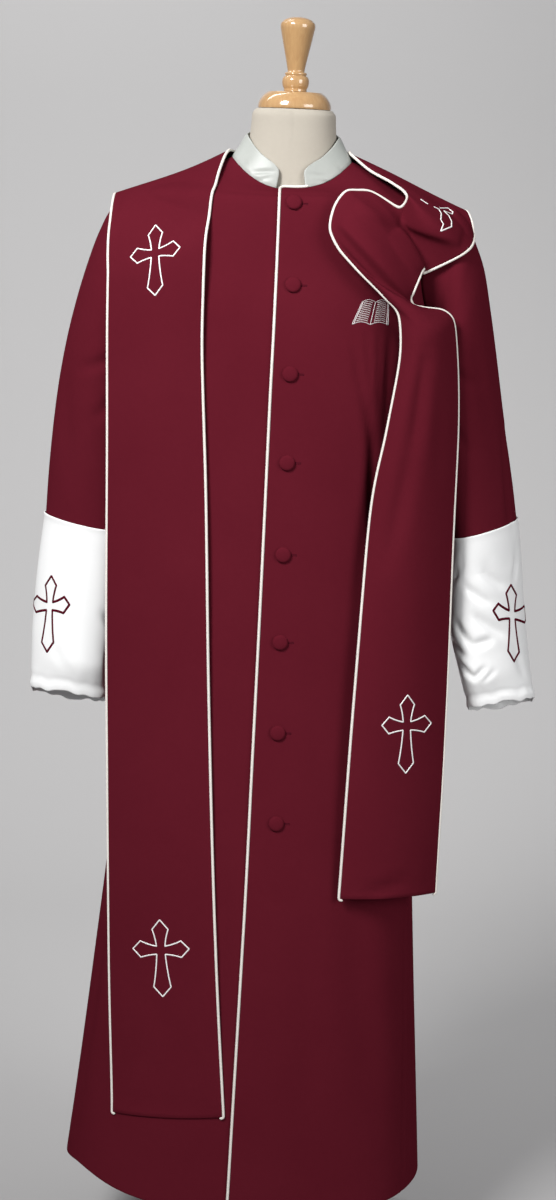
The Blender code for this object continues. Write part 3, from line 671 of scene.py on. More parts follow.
@dataclass
class RobeBody:
    """Surface of the robe's body, by a level up its table and an angle from the front."""

    squareness: float = 0.85
    underarm: float = 7.7
    shoulder_tip: float = 10.15
    seam_levels: float = 0.012
    front_dip: float = 30
    back_dip: float = 27
    armhole_roundness: float = 0.7
    back_folds: int = 5
    back_fold_depth: float = 1.5
    front_folds: int = 7
    front_fold_depth: float = 0.6
    front_fold_phase: float = 0.6
    hem_levels: tuple[float, ...] = (0.0, 0.012, 0.06)
    neck_margin: float = 0.03
    skirt_rows: int = 150
    armhole_rows: int = 49
    shoulder_rows: int = 26
    levels: tuple[Level, ...] = (
        Level(0.135, 0.262, 0.215, 0.208, 0.000, 0.000, -0.010, -0.0255, 0.0070),
        Level(0.300, 0.247, 0.199, 0.192, 0.000, 0.000, -0.007, -0.0228, 0.0052),
        Level(0.450, 0.234, 0.184, 0.178, 0.000, 0.000, -0.005, -0.0203, 0.0038),
        Level(0.600, 0.222, 0.168, 0.164, 0.000, 0.000, -0.003, -0.0180, 0.0026),
        Level(0.750, 0.213, 0.153, 0.152, 0.000, 0.000, -0.001, -0.0170, 0.0016),
        Level(0.920, 0.205, 0.143, 0.144, 0.000, 0.000, 0.000, -0.0156, 0.0008),
        Level(1.100, 0.200, 0.140, 0.134, 0.000, 0.000, 0.000, -0.0144, 0.0003),
        Level(1.280, 0.203, 0.140, 0.135, 0.000, 0.000, 0.000, -0.0136, 0.0),
        Level(1.380, 0.207, 0.134, 0.137, 0.000, 0.000, 0.000, -0.0126, 0.0),
        Level(1.460, 0.209, 0.118, 0.131, 0.000, 0.000, 0.000, -0.0124, 0.0),
        Level(1.540, 0.204, 0.098, 0.113, 0.002, 0.000, 0.000, -0.0128, 0.0),
        Level(1.568, 0.150, 0.084, 0.088, 0.017, 0.008, 0.000, -0.0130, 0.0),
        Level(1.600, 0.084, 0.060, 0.064, 0.042, 0.020, 0.000, -0.0130, 0.0),
    )

    @property
    def neck(self) -> int:
        """Level of the neckline."""
        return len(self.levels) - 1

    def row(self, level: float) -> Level:
        """Sizes at one level."""
        return Level(*monotone(self.levels, np.array([level]))[0])

    def powered(self, values: np.ndarray) -> np.ndarray:
        """Values raised to the squareness, with their signs kept."""
        return np.sign(values) * np.abs(values) ** self.squareness

    def oval(self, angles: np.ndarray, *sizes: np.ndarray) -> np.ndarray:
        """Points on flattened ovals about the upright axis, dipped in front and raised behind.

        Args:
            angles: Angle of each point, rows by columns, 0 at the front.
            sizes: Each row's height, half width, depths in front and behind, dip and rise.

        Returns:
            Points, rows by columns.
        """
        height, half, front, back, drop, rise = sizes
        across, ahead = np.sin(angles), np.cos(angles)
        return np.stack([
            half * self.powered(across),
            -np.where(ahead > 0, front, back) * self.powered(ahead),
            height - drop * np.maximum(ahead, 0) ** 2 + rise * np.maximum(-ahead, 0) ** 2,
        ], axis=-1)

    def shape(self, levels: np.ndarray, angles: np.ndarray) -> np.ndarray:
        """Points of the outer face.

        Args:
            levels: Level of each row.
            angles: Angle of each point, rows by columns, 0 at the front.

        Returns:
            Points, rows by columns.
        """
        rows = monotone(self.levels, levels)
        height, half, front, back, drop, rise, centre, _, fold = (rows[:, [k]] for k in range(9))
        points = self.oval(angles, height, half, front, back, drop, rise)
        points[..., :2] *= (1 + fold / half * self.fold_wave(angles))[..., None]
        points[..., 0] += centre
        return points

    def fold_wave(self, angles: np.ndarray) -> np.ndarray:
        """Soft upright folds of the skirt, deeper at the back than at the front."""
        back = self.back_fold_depth * np.maximum(-np.cos(angles), 0)
        front = self.front_fold_depth * np.maximum(np.cos(angles), 0)
        behind = back * np.cos(2 * self.back_folds * (angles - math.pi))
        return behind + front * np.cos(self.front_folds * angles + self.front_fold_phase)

    def point(self, level: float, angle: float, out: float = 0.0) -> np.ndarray:
        """One point of the outer face, moved out."""
        return self.shape(np.array([level]), np.array([[angle]]))[0, 0] + out * self.normal(level, angle)

    def normal(self, level: float, angle: float) -> np.ndarray:
        """Direction that the outer face looks at one place."""
        step = 1e-3
        levels = np.array([level, level, level - step, level + step])
        angles = np.array([[angle - step], [angle + step], [angle], [angle]])
        around = self.shape(levels, angles)[:, 0]
        way = np.cross(around[1] - around[0], around[3] - around[2])
        return way / np.linalg.norm(way)

    def angle_at(self, level: float, x: float) -> float:
        """Front angle at which the outer face is at this x."""
        row = self.row(level)
        share = (x - row.centre) / row.half_width
        return math.copysign(math.asin(abs(share) ** (1 / self.squareness)), share)

    def level_at(self, height: float) -> float:
        """Level at which the front's middle has this height."""
        levels = np.linspace(0, self.neck, 241)
        heights = self.shape(levels, np.zeros((len(levels), 1)))[:, 0, 2]
        return float(np.interp(height, heights, levels))

    def armhole_dip(self, levels: np.ndarray, deepest: float) -> np.ndarray:
        """How far the armhole's edge lies from the side, as angles."""
        share = np.clip((levels - self.underarm) / (self.shoulder_tip - self.underarm), 0, 1)
        return math.radians(deepest) * np.sin(math.pi * share) ** self.armhole_roundness

    def front_edge(self, levels: np.ndarray) -> np.ndarray:
        """Angle of the fronts' outer edges."""
        return math.pi / 2 - self.armhole_dip(levels, self.front_dip)

    def back_edge(self, levels: np.ndarray) -> np.ndarray:
        """Angle of the back's edges."""
        return math.pi / 2 + self.armhole_dip(levels, self.back_dip)

    def panel_levels(self) -> np.ndarray:
        """Levels of a panel's rows, with narrow steps at the hem, and closer rows at the armhole."""
        skirt = np.linspace(self.hem_levels[-1], self.underarm, self.skirt_rows)
        rise = (1 - np.cos(np.linspace(0, math.pi, self.armhole_rows))) / 2
        armhole = self.underarm + (self.shoulder_tip - self.underarm) * rise
        shoulder = np.linspace(self.shoulder_tip, self.neck - self.neck_margin, self.shoulder_rows)
        return np.concatenate([self.hem_levels[:-1], skirt, armhole[1:], shoulder[1:], [self.neck]])


@dataclass
class Robe:
    """Fronts and back of the robe, with their seams, hem and creases."""

    body: RobeBody
    lap_columns: int = 15
    side_columns: int = 52
    back_columns: int = 120
    lap_inner: float = 0.028
    lap_margin: float = 0.03
    back_margin: float = 0.006
    lap_fade: int = 9
    lap_run_out: int = 18
    edge_fade: int = 12
    seam_sink: float = 0.0011
    seam_width: float = 0.0045
    hem_height: float = 0.030
    hem_sink: float = 0.00035
    hem_stitch_width: float = 0.0022
    degree: float = 0.0036
    hem_rise: float = 0.023
    hem_rise_turn: float = -60
    hem_rise_width: float = 21
    hem_rise_reach: float = 0.16
    front_creases: tuple[Crease, ...] = (
        Crease(41, 1.372, 42, 1.250, 0.0020, 0.008),
        Crease(25, 1.345, 31, 1.262, 0.0018, 0.006),
        Crease(31.5, 1.275, 36.5, 1.205, 0.0045, 0.010),
        Crease(35.5, 1.225, 39.5, 1.090, 0.0058, 0.011),
        Crease(-9.5, 0.640, -6.5, 0.300, 0.0040, 0.010),
        Crease(29, 1.376, 33, 1.282, 0.0014, 0.0045),
        Crease(23, 1.364, 26, 1.296, 0.0009, 0.0040),
        Crease(35, 1.374, 38, 1.250, 0.0016, 0.0050),
        Crease(47, 1.300, 33, 1.010, 0.0030, 0.020),
        Crease(8, 1.180, 16, 0.700, 0.0012, 0.024),
        Crease(-10, 1.420, -14, 1.150, 0.0014, 0.018),
        Crease(-24, 1.360, -16, 0.960, 0.0030, 0.022),
        Crease(-12, 0.900, -17, 0.360, 0.0022, 0.030),
        Crease(32, 0.640, 44, 0.200, 0.0045, 0.034),
        Crease(12, 0.560, 15, 0.160, 0.0022, 0.028),
        Crease(-44, 0.560, -52, 0.180, 0.0040, 0.034),
        Crease(70, 0.620, 61, 0.120, 0.0022, 0.0040),
        Crease(-70, 0.760, -74, 0.200, 0.0040, 0.028),
        Crease(58, 1.330, 30, 1.430, 0.0018, 0.012),
        Crease(-58, 1.330, -34, 1.420, 0.0018, 0.012),
    )
    back_creases: tuple[Crease, ...] = (
        Crease(132, 1.330, 150, 1.440, 0.0028, 0.014),
        Crease(228, 1.325, 208, 1.450, 0.0030, 0.014),
        Crease(160, 1.410, 156, 1.080, 0.0026, 0.024),
        Crease(201, 1.400, 206, 1.050, 0.0026, 0.022),
        Crease(140, 1.180, 132, 0.760, 0.0030, 0.026),
        Crease(222, 1.160, 230, 0.740, 0.0030, 0.026),
        Crease(178, 1.000, 183, 0.420, 0.0028, 0.026),
        Crease(120, 0.720, 114, 0.260, 0.0042, 0.030),
        Crease(244, 0.760, 250, 0.230, 0.0042, 0.030),
        Crease(196, 0.640, 199, 0.170, 0.0030, 0.022),
    )

    def front(self, side: Side) -> Cloth:
        """One front. The wearer's left front laps over the right one at the buttons."""
        levels = self.body.panel_levels()
        angles = []
        for level in levels:
            edge = self.body.row(level).lap_edge
            lap = [
                self.body.angle_at(level, edge + (self.lap_inner - edge) * share)
                for share in spaced_shares(self.lap_columns - 2, self.lap_margin)
            ]
            if side is Side.RIGHT:
                lap = lap[::-1]
            outer_edge = side.value * float(self.body.front_edge(np.array([level]))[0])
            angles.append([*lap, *np.linspace(lap[-1], outer_edge, self.side_columns + 1)[1:]])
        angles = np.array(angles)
        cloth = Cloth(self.body.shape(levels, angles))
        lift = crease_lift(self.front_creases, np.degrees(angles), cloth.points[..., 2], self.degree)
        if side is Side.LEFT:
            past_lap = np.clip(np.arange(angles.shape[1]) - self.lap_columns + 1, 0, None)
            lift = lift * smoothstep(0, self.lap_fade, past_lap)[None]
            lift = lift + (CLOTH + LAP_GAP) * (1 - smoothstep(0, self.lap_run_out, past_lap))[None]
        else:
            from_edge = np.arange(angles.shape[1]) - 1.0
            lift = lift * smoothstep(0, self.edge_fade, from_edge)[None]
        cloth.lift(lift + self.seams(cloth, levels, (False, True)))
        self.raise_hem(cloth, angles)
        return cloth

    def back(self) -> Cloth:
        """The back, from the wearer's left side round to the right."""
        levels = self.body.panel_levels()
        edge = self.body.back_edge(levels)[:, None]
        shares = spaced_shares(self.back_columns, self.back_margin)[None]
        angles = edge + (2 * math.pi - 2 * edge) * shares
        cloth = Cloth(self.body.shape(levels, angles))
        lift = crease_lift(self.back_creases, np.degrees(angles), cloth.points[..., 2], self.degree)
        cloth.lift(lift + self.seams(cloth, levels, (True, True)))
        self.raise_hem(cloth, angles)
        return cloth

    def raise_hem(self, cloth: Cloth, angles: np.ndarray) -> None:
        """Raises the hem ahead of the wearer's right side seam, where the skirt hangs shorter."""
        turn = (np.degrees(angles) + 180) % 360 - 180
        rise = self.hem_rise * bell(turn, self.hem_rise_width, self.hem_rise_turn)
        above = cloth.points[..., 2] - self.body.levels[0].height
        cloth.points[..., 2] += rise * (1 - smoothstep(0, self.hem_rise_reach, above))
        cloth.refresh()

    def seams(self, cloth: Cloth, levels: np.ndarray, sides: tuple[bool, bool]) -> np.ndarray:
        """How far a panel dips at its seams and at the stitching of its hem.

        Args:
            cloth: The panel.
            levels: Level of each row.
            sides: Whether the first and the last column are sewn to another panel.

        Returns:
            The dip at each point, as a lift below 0.
        """
        along_row, along_column = cloth.lengths()
        dip = np.zeros(along_row.shape)
        for sewn, distance in zip(sides, (along_row, along_row[:, -1:] - along_row)):
            if sewn:
                dip -= self.seam_sink * bell(distance, self.seam_width)
        hem = cloth.points[..., 2] - self.body.levels[0].height - self.hem_height
        dip -= self.hem_sink * bell(hem, self.hem_stitch_width) * (levels < 1)[:, None]
        return dip

    def build(self) -> dict[str, Cloth]:
        """Returns:
            Each panel's outer face by the name of its node.
        """
        panels = {
            "front_left": self.front(Side.LEFT),
            "front_right": self.front(Side.RIGHT),
            "robe_back": self.back(),
        }
        for node, cloth in panels.items():
            piece = build_shell(f"{node}_cloth", cloth, CLOTH, Finish.CLOTH)
            declare(piece, cloth, [node])
        return panels


def declare(
    piece: bpy.types.Object, cloth: Cloth, nodes: Sequence[str]
) -> None:
    """Hides the solids that a cloth piece stands for, and logs the size that it was cut to."""
    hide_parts(*nodes)
    flat, area = cloth.cut()
    LOG.info("%s: cut %.0f x %.0f mm, %.3f square metres", piece.name, flat[0] * 1000, flat[1] * 1000, area)


@dataclass
class Sleeve:
    """One sleeve and its satin cuff."""

    side: Side
    body: RobeBody
    rings: tuple[Ring, ...]
    cuff_rings: tuple[Ring, ...]
    sleeve_creases: tuple[Crease, ...]
    cuff_creases: tuple[Crease, ...]
    columns: int = 96
    sleeve_rows: int = 110
    cuff_rows: int = 56
    lap_share: float = 0.75
    coarse_rings: int = 13
    degree: float = 0.00115
    head_sink: float = 0.0008
    head_width: float = 0.006
    head_fade: float = 0.03
    head_lead: tuple[float, ...] = (0.0, 0.12, 0.35, 0.65)
    lap_lead: tuple[float, ...] = (0.0, 0.15, 0.5)
    cuff_lead: tuple[float, ...] = (0.0, 0.33, 0.67)
    cuff_margin: float = 0.008
    hem_rise: float = 0.0095
    hem_drop: float = 0.0135
    hem_reach: float = 0.060
    hem_squeeze: float = 0.26
    hem_roll: float = 0.0016
    hem_roll_height: float = 0.006
    hem_roll_width: float = 0.005
    hem_dip: float = 0.0008
    hem_dip_height: float = 0.019
    hem_dip_width: float = 0.004
    hem_ripples: tuple[tuple[int, float, float], ...] = (
        (5, 0.0013, 0.0), (9, 0.0011, 1.0), (15, 0.0007, 2.0),
    )
    top_roll: float = 0.0006
    top_roll_width: float = 0.004
    top_stitch: float = 0.0045
    top_stitch_width: float = 0.0012

    def turns(self) -> np.ndarray:
        """Angle of each column, from the outer end over the front."""
        return full_turn(self.columns)

    def ring_grid(self, table: Sequence[Ring], places: np.ndarray) -> np.ndarray:
        """Points round rings at places in a table."""
        rows = monotone(table, places)
        outer, outer_height, inner, inner_height, half, middle, lean = (rows[:, [k]] for k in range(7))
        along, over = np.cos(self.turns())[None], np.sin(self.turns())[None]
        depth = lean * along - np.sqrt(1 - lean**2) * over
        return np.stack([
            self.side.value * ((outer + inner) / 2 + (outer - inner) / 2 * along),
            middle + half * depth,
            (outer_height + inner_height) / 2 + (outer_height - inner_height) / 2 * along,
        ], axis=-1)

    def armhole(self) -> np.ndarray:
        """Points of the armhole, one for each column."""
        body = self.body
        turns = self.turns()
        span = body.shoulder_tip - body.underarm
        levels = body.underarm + span * (1 + np.cos(turns)) / 2
        levels = np.clip(levels, body.underarm + body.seam_levels, body.shoulder_tip - body.seam_levels)
        front = turns <= math.pi
        angles = np.where(front, body.front_edge(levels), body.back_edge(levels))
        return body.shape(levels, self.side.value * angles[:, None])[:, 0]

    def sleeve_cloth(self) -> Cloth:
        """Outer face of the sleeve, from the armhole to inside the cuff."""
        places = np.linspace(0, len(self.rings) - 1, self.sleeve_rows)
        grid = self.ring_grid(self.rings, places)
        head = self.armhole()
        lead = [head + (grid[0] - head) * share for share in self.head_lead]
        cloth = Cloth(np.concatenate([np.array(lead), grid]), closed=True)
        turn = np.broadcast_to(np.degrees(self.turns())[None], cloth.points.shape[:2])
        lift = crease_lift(self.sleeve_creases, turn, cloth.points[..., 2], self.degree)
        _, down = cloth.lengths()
        lift = lift * smoothstep(0, self.head_fade, down)
        lift = lift - self.head_sink * bell(down, self.head_width)
        cloth.lift(lift)
        return cloth

    def cuff_cloth(self, sleeve: Cloth) -> Cloth:
        """Outer face of the cuff, which starts over the end of its sleeve."""
        out = CLOTH + LAP_GAP
        step = (self.sleeve_rows - 1) / (self.coarse_rings - 1)
        last = sleeve.points[-1] + out * sleeve.normals[-1]
        above = sleeve.points[-1 - int(step)] + out * sleeve.normals[-1 - int(step)]
        top = above + (last - above) * self.lap_share
        shares = spaced_shares(self.cuff_rows, self.cuff_margin)
        places = shares * (len(self.cuff_rings) - 1)
        grid = self.ring_grid(self.cuff_rings, places)
        lead = [top + (last - top) * share for share in self.lap_lead]
        lead += [last + (grid[0] - last) * share for share in self.cuff_lead]
        cloth = Cloth(np.concatenate([np.array(lead), grid]), closed=True)
        turn = np.broadcast_to(np.degrees(self.turns())[None], cloth.points.shape[:2])
        lift = crease_lift(self.cuff_creases, turn, cloth.points[..., 2], self.degree)
        _, down = cloth.lengths()
        to_hem = down[-1:] - down
        lift = lift + self.top_roll * bell(down, self.top_roll_width)
        lift = lift - self.top_roll * bell(down, self.top_stitch_width, self.top_stitch)
        lift = lift + self.hem_roll * bell(to_hem, self.hem_roll_width, self.hem_roll_height)
        lift = lift - self.hem_dip * bell(to_hem, self.hem_dip_width, self.hem_dip_height)
        cloth.lift(lift)
        radians = np.radians(turn)
        near_hem = 1 - smoothstep(0, self.hem_reach, to_hem)
        over = np.sin(radians)
        wave = np.where(over > 0, self.hem_rise * over, self.hem_drop * over)
        for count, size, start in self.hem_ripples:
            wave = wave + size * np.sin(count * radians + start)
        cloth.points[..., 2] += wave * near_hem
        middle = cloth.points[..., 1].mean(axis=1, keepdims=True)
        cloth.points[..., 1] -= (cloth.points[..., 1] - middle) * self.hem_squeeze * near_hem
        cloth.refresh()
        return cloth

    def build(self) -> dict[str, Cloth]:
        """Returns:
            Each outer face by the name of its node.
        """
        word = self.side.word
        sleeve = self.sleeve_cloth()
        cuff = self.cuff_cloth(sleeve)
        piece = build_shell(f"sleeve_{word}_cloth", sleeve, CLOTH, Finish.CLOTH)
        declare(piece, sleeve, [f"sleeve_{word}"])
        satin = build_shell(f"cuff_{word}_satin", cuff, CLOTH, Finish.SATIN)
        declare(satin, cuff, [f"cuff_{word}"])
        return {f"sleeve_{word}": sleeve, f"cuff_{word}": cuff}


RIGHT_SLEEVE = (
    Ring(0.2290, 1.5400, 0.2100, 1.3545, 0.0740, 0.000, 0.00),
    Ring(0.2500, 1.5200, 0.2110, 1.3490, 0.0800, 0.000, 0.00),
    Ring(0.2660, 1.4880, 0.2116, 1.3400, 0.0825, 0.000, 0.05),
    Ring(0.2800, 1.4480, 0.2120, 1.3240, 0.0825, 0.000, 0.10),
    Ring(0.2960, 1.3920, 0.2128, 1.3040, 0.0800, 0.001, 0.18),
    Ring(0.3090, 1.3350, 0.2140, 1.2750, 0.0760, 0.002, 0.28),
    Ring(0.3195, 1.2700, 0.2155, 1.2300, 0.0710, 0.003, 0.38),
    Ring(0.3270, 1.2000, 0.2170, 1.1750, 0.0660, 0.004, 0.48),
    Ring(0.3315, 1.1350, 0.2195, 1.1200, 0.0620, 0.004, 0.55),
    Ring(0.3340, 1.0730, 0.2225, 1.0620, 0.0590, 0.004, 0.60),
)
LEFT_SLEEVE = (
    Ring(0.2290, 1.5400, 0.2100, 1.3545, 0.0740, 0.000, 0.00),
    Ring(0.2480, 1.5220, 0.2110, 1.3490, 0.0800, 0.000, 0.00),
    Ring(0.2620, 1.4950, 0.2116, 1.3400, 0.0825, 0.000, 0.05),
    Ring(0.2760, 1.4600, 0.2120, 1.3240, 0.0825, 0.000, 0.10),
    Ring(0.2885, 1.4050, 0.2134, 1.3040, 0.0800, 0.000, 0.18),
    Ring(0.2985, 1.3560, 0.2160, 1.2780, 0.0760, 0.000, 0.28),
    Ring(0.3100, 1.2950, 0.2210, 1.2320, 0.0710, 0.001, 0.38),
    Ring(0.3220, 1.2300, 0.2290, 1.1800, 0.0660, 0.002, 0.48),
    Ring(0.3350, 1.1620, 0.2400, 1.1270, 0.0620, 0.003, 0.55),
    Ring(0.3480, 1.0920, 0.2520, 1.0720, 0.0590, 0.004, 0.60),
)
RIGHT_CUFF = (
    Ring(0.3405, 1.0400, 0.2240, 1.0290, 0.0600, 0.004, 0.60),
    Ring(0.3460, 0.9750, 0.2270, 0.9640, 0.0590, 0.003, 0.60),
    Ring(0.3490, 0.9000, 0.2310, 0.8950, 0.0570, 0.002, 0.58),
    Ring(0.3470, 0.8270, 0.2350, 0.8240, 0.0560, 0.000, 0.55),
)
LEFT_CUFF = (
    Ring(0.3570, 1.0450, 0.2500, 1.0300, 0.0600, 0.004, 0.60),
    Ring(0.3645, 0.9800, 0.2530, 0.9600, 0.0590, 0.003, 0.60),
    Ring(0.3760, 0.9000, 0.2690, 0.8930, 0.0570, 0.002, 0.58),
    Ring(0.3860, 0.8440, 0.2880, 0.8340, 0.0540, 0.000, 0.55),
)
RIGHT_SLEEVE_CREASES = (
    Crease(150, 1.330, 70, 1.300, 0.0030, 0.010),
    Crease(165, 1.290, 95, 1.230, 0.0026, 0.011),
    Crease(40, 1.300, 70, 1.140, 0.0020, 0.016),
    Crease(205, 1.320, 285, 1.290, 0.0032, 0.011),
    Crease(200, 1.260, 270, 1.180, 0.0026, 0.012),
    Crease(330, 1.240, 300, 1.110, 0.0024, 0.014),
)
LEFT_SLEEVE_CREASES = (
    Crease(150, 1.330, 72, 1.300, 0.0032, 0.010),
    Crease(160, 1.280, 100, 1.210, 0.0028, 0.011),
    Crease(28, 1.240, 44, 1.100, 0.0045, 0.009),
    Crease(8, 1.230, 24, 1.105, 0.0040, 0.009),
    Crease(75, 1.380, 62, 1.230, 0.0018, 0.016),
    Crease(205, 1.320, 285, 1.290, 0.0032, 0.011),
    Crease(205, 1.250, 265, 1.170, 0.0026, 0.012),
    Crease(335, 1.250, 305, 1.130, 0.0024, 0.014),
)
RIGHT_CUFF_CREASES = (
    Crease(140, 0.955, 176, 0.928, 0.0030, 0.009),
    Crease(70, 0.900, 92, 0.862, 0.0010, 0.010),
    Crease(160, 0.905, 168, 0.845, 0.0022, 0.009),
    Crease(200, 1.000, 214, 0.860, 0.0022, 0.012),
    Crease(262, 0.990, 250, 0.860, 0.0022, 0.012),
    Crease(320, 1.010, 306, 0.870, 0.0024, 0.012),
)
LEFT_CUFF_CREASES = (
    Crease(106, 1.044, 65, 1.012, 0.0036, 0.0075),
    Crease(131, 1.019, 86, 0.990, 0.0036, 0.0065),
    Crease(150, 0.962, 120, 0.932, 0.0056, 0.0080),
    Crease(122, 0.932, 90, 0.940, 0.0040, 0.0060),
    Crease(114, 0.977, 70, 0.943, 0.0048, 0.0075),
    Crease(176, 0.934, 139, 0.918, 0.0044, 0.0065),
    Crease(160, 0.903, 128, 0.884, 0.0056, 0.0070),
    Crease(130, 0.884, 107, 0.900, 0.0040, 0.0050),
    Crease(92, 0.897, 116, 0.878, 0.0022, 0.0045),
    Crease(33, 1.060, 46, 1.020, 0.0028, 0.0060),
    Crease(133, 1.048, 160, 1.022, 0.0034, 0.0055),
    Crease(56, 0.930, 40, 0.875, 0.0018, 0.0090),
    Crease(205, 1.000, 218, 0.880, 0.0024, 0.0110),
    Crease(264, 0.990, 250, 0.880, 0.0024, 0.0110),
    Crease(322, 1.010, 306, 0.890, 0.0024, 0.0110),
)


@dataclass
class Collar:
    """Standing satin band round the neck, open at the front with rounded corners."""

    body: RobeBody
    rows: int = 26
    columns: int = 150
    corner: float = 11.0
    corner_rows: float = 0.32
    seam_sink: float = 0.0009
    bands: tuple[Band, ...] = (
        Band(0.0843, 0.0603, 0.0643, 1.6004, 0.0418, 0.0200, 11.0),
        Band(0.0740, 0.0570, 0.0600, 1.6170, 0.0422, 0.0240, 11.0),
        Band(0.0655, 0.0545, 0.0570, 1.6320, 0.0428, 0.0260, 13.0),
    )
    creases: tuple[Crease, ...] = (
        Crease(-16, 1.582, -40, 1.579, 0.0011, 0.0030),
        Crease(-18, 1.574, -34, 1.566, 0.0010, 0.0026),
        Crease(-52, 1.596, -58, 1.580, 0.0013, 0.0045),
        Crease(16, 1.580, 36, 1.578, 0.0010, 0.0030),
        Crease(20, 1.572, 40, 1.570, 0.0009, 0.0026),
        Crease(50, 1.592, 62, 1.584, 0.0013, 0.0045),
        Crease(84, 1.608, 98, 1.624, 0.0012, 0.0045),
        Crease(-92, 1.606, -80, 1.622, 0.0010, 0.0045),
        Crease(168, 1.626, 186, 1.640, 0.0010, 0.0050),
    )
    degree: float = 0.00122
    edge_stitch: float = 0.0006
    edge_stitch_place: float = 0.0032
    edge_stitch_width: float = 0.0009
    seam_width: float = 0.0026
    lap_reach: float = 40

    def from_ends(self, cloth: Cloth) -> tuple[np.ndarray, np.ndarray]:
        """Distances from the band's two front ends."""
        along, _ = cloth.lengths()
        return along, along[:, -1:] - along

    def cloth(self) -> Cloth:
        """Outer face of the band, from its top row down."""
        shares = spaced_shares(self.rows, 0.03)
        rows = monotone(self.bands, (1 - shares) * (len(self.bands) - 1))
        half, front, back, height, drop, rise, opening = (rows[:, [k]] for k in range(7))
        corner = np.clip(1 - shares / self.corner_rows, 0, 1)[:, None]
        opening = np.radians(opening + self.corner * (1 - np.sqrt(1 - corner**2)))
        across_shares = spaced_shares(self.columns, 0.004)[None]
        angles = opening + (2 * math.pi - 2 * opening) * across_shares
        points = self.body.oval(angles, height, half, front, back, drop, rise)
        on_lap = bell(np.degrees(angles), self.lap_reach) * shares[:, None]
        points[..., 2] += (CLOTH + LAP_GAP) * on_lap
        cloth = Cloth(points)
        turn = np.degrees((angles + math.pi) % (2 * math.pi) - math.pi)
        lift = crease_lift(self.creases, turn, points[..., 2], self.degree)
        _, down = cloth.lengths()
        edge = np.minimum(down, np.minimum(*self.from_ends(cloth)))
        lift = lift - self.edge_stitch * bell(edge, self.edge_stitch_width, self.edge_stitch_place)
        lift = lift - self.seam_sink * bell(down[-1:] - down, self.seam_width)
        cloth.lift(lift)
        return cloth

    def build(self) -> dict[str, Cloth]:
        cloth = self.cloth()
        # Its satin is painted darker grey than the cuffs' satin: painted shade.
        piece = build_shell("collar_satin", cloth, CLOTH, Finish.COLLAR_SATIN)
        declare(piece, cloth, ["collar"])
        return {"collar": cloth}


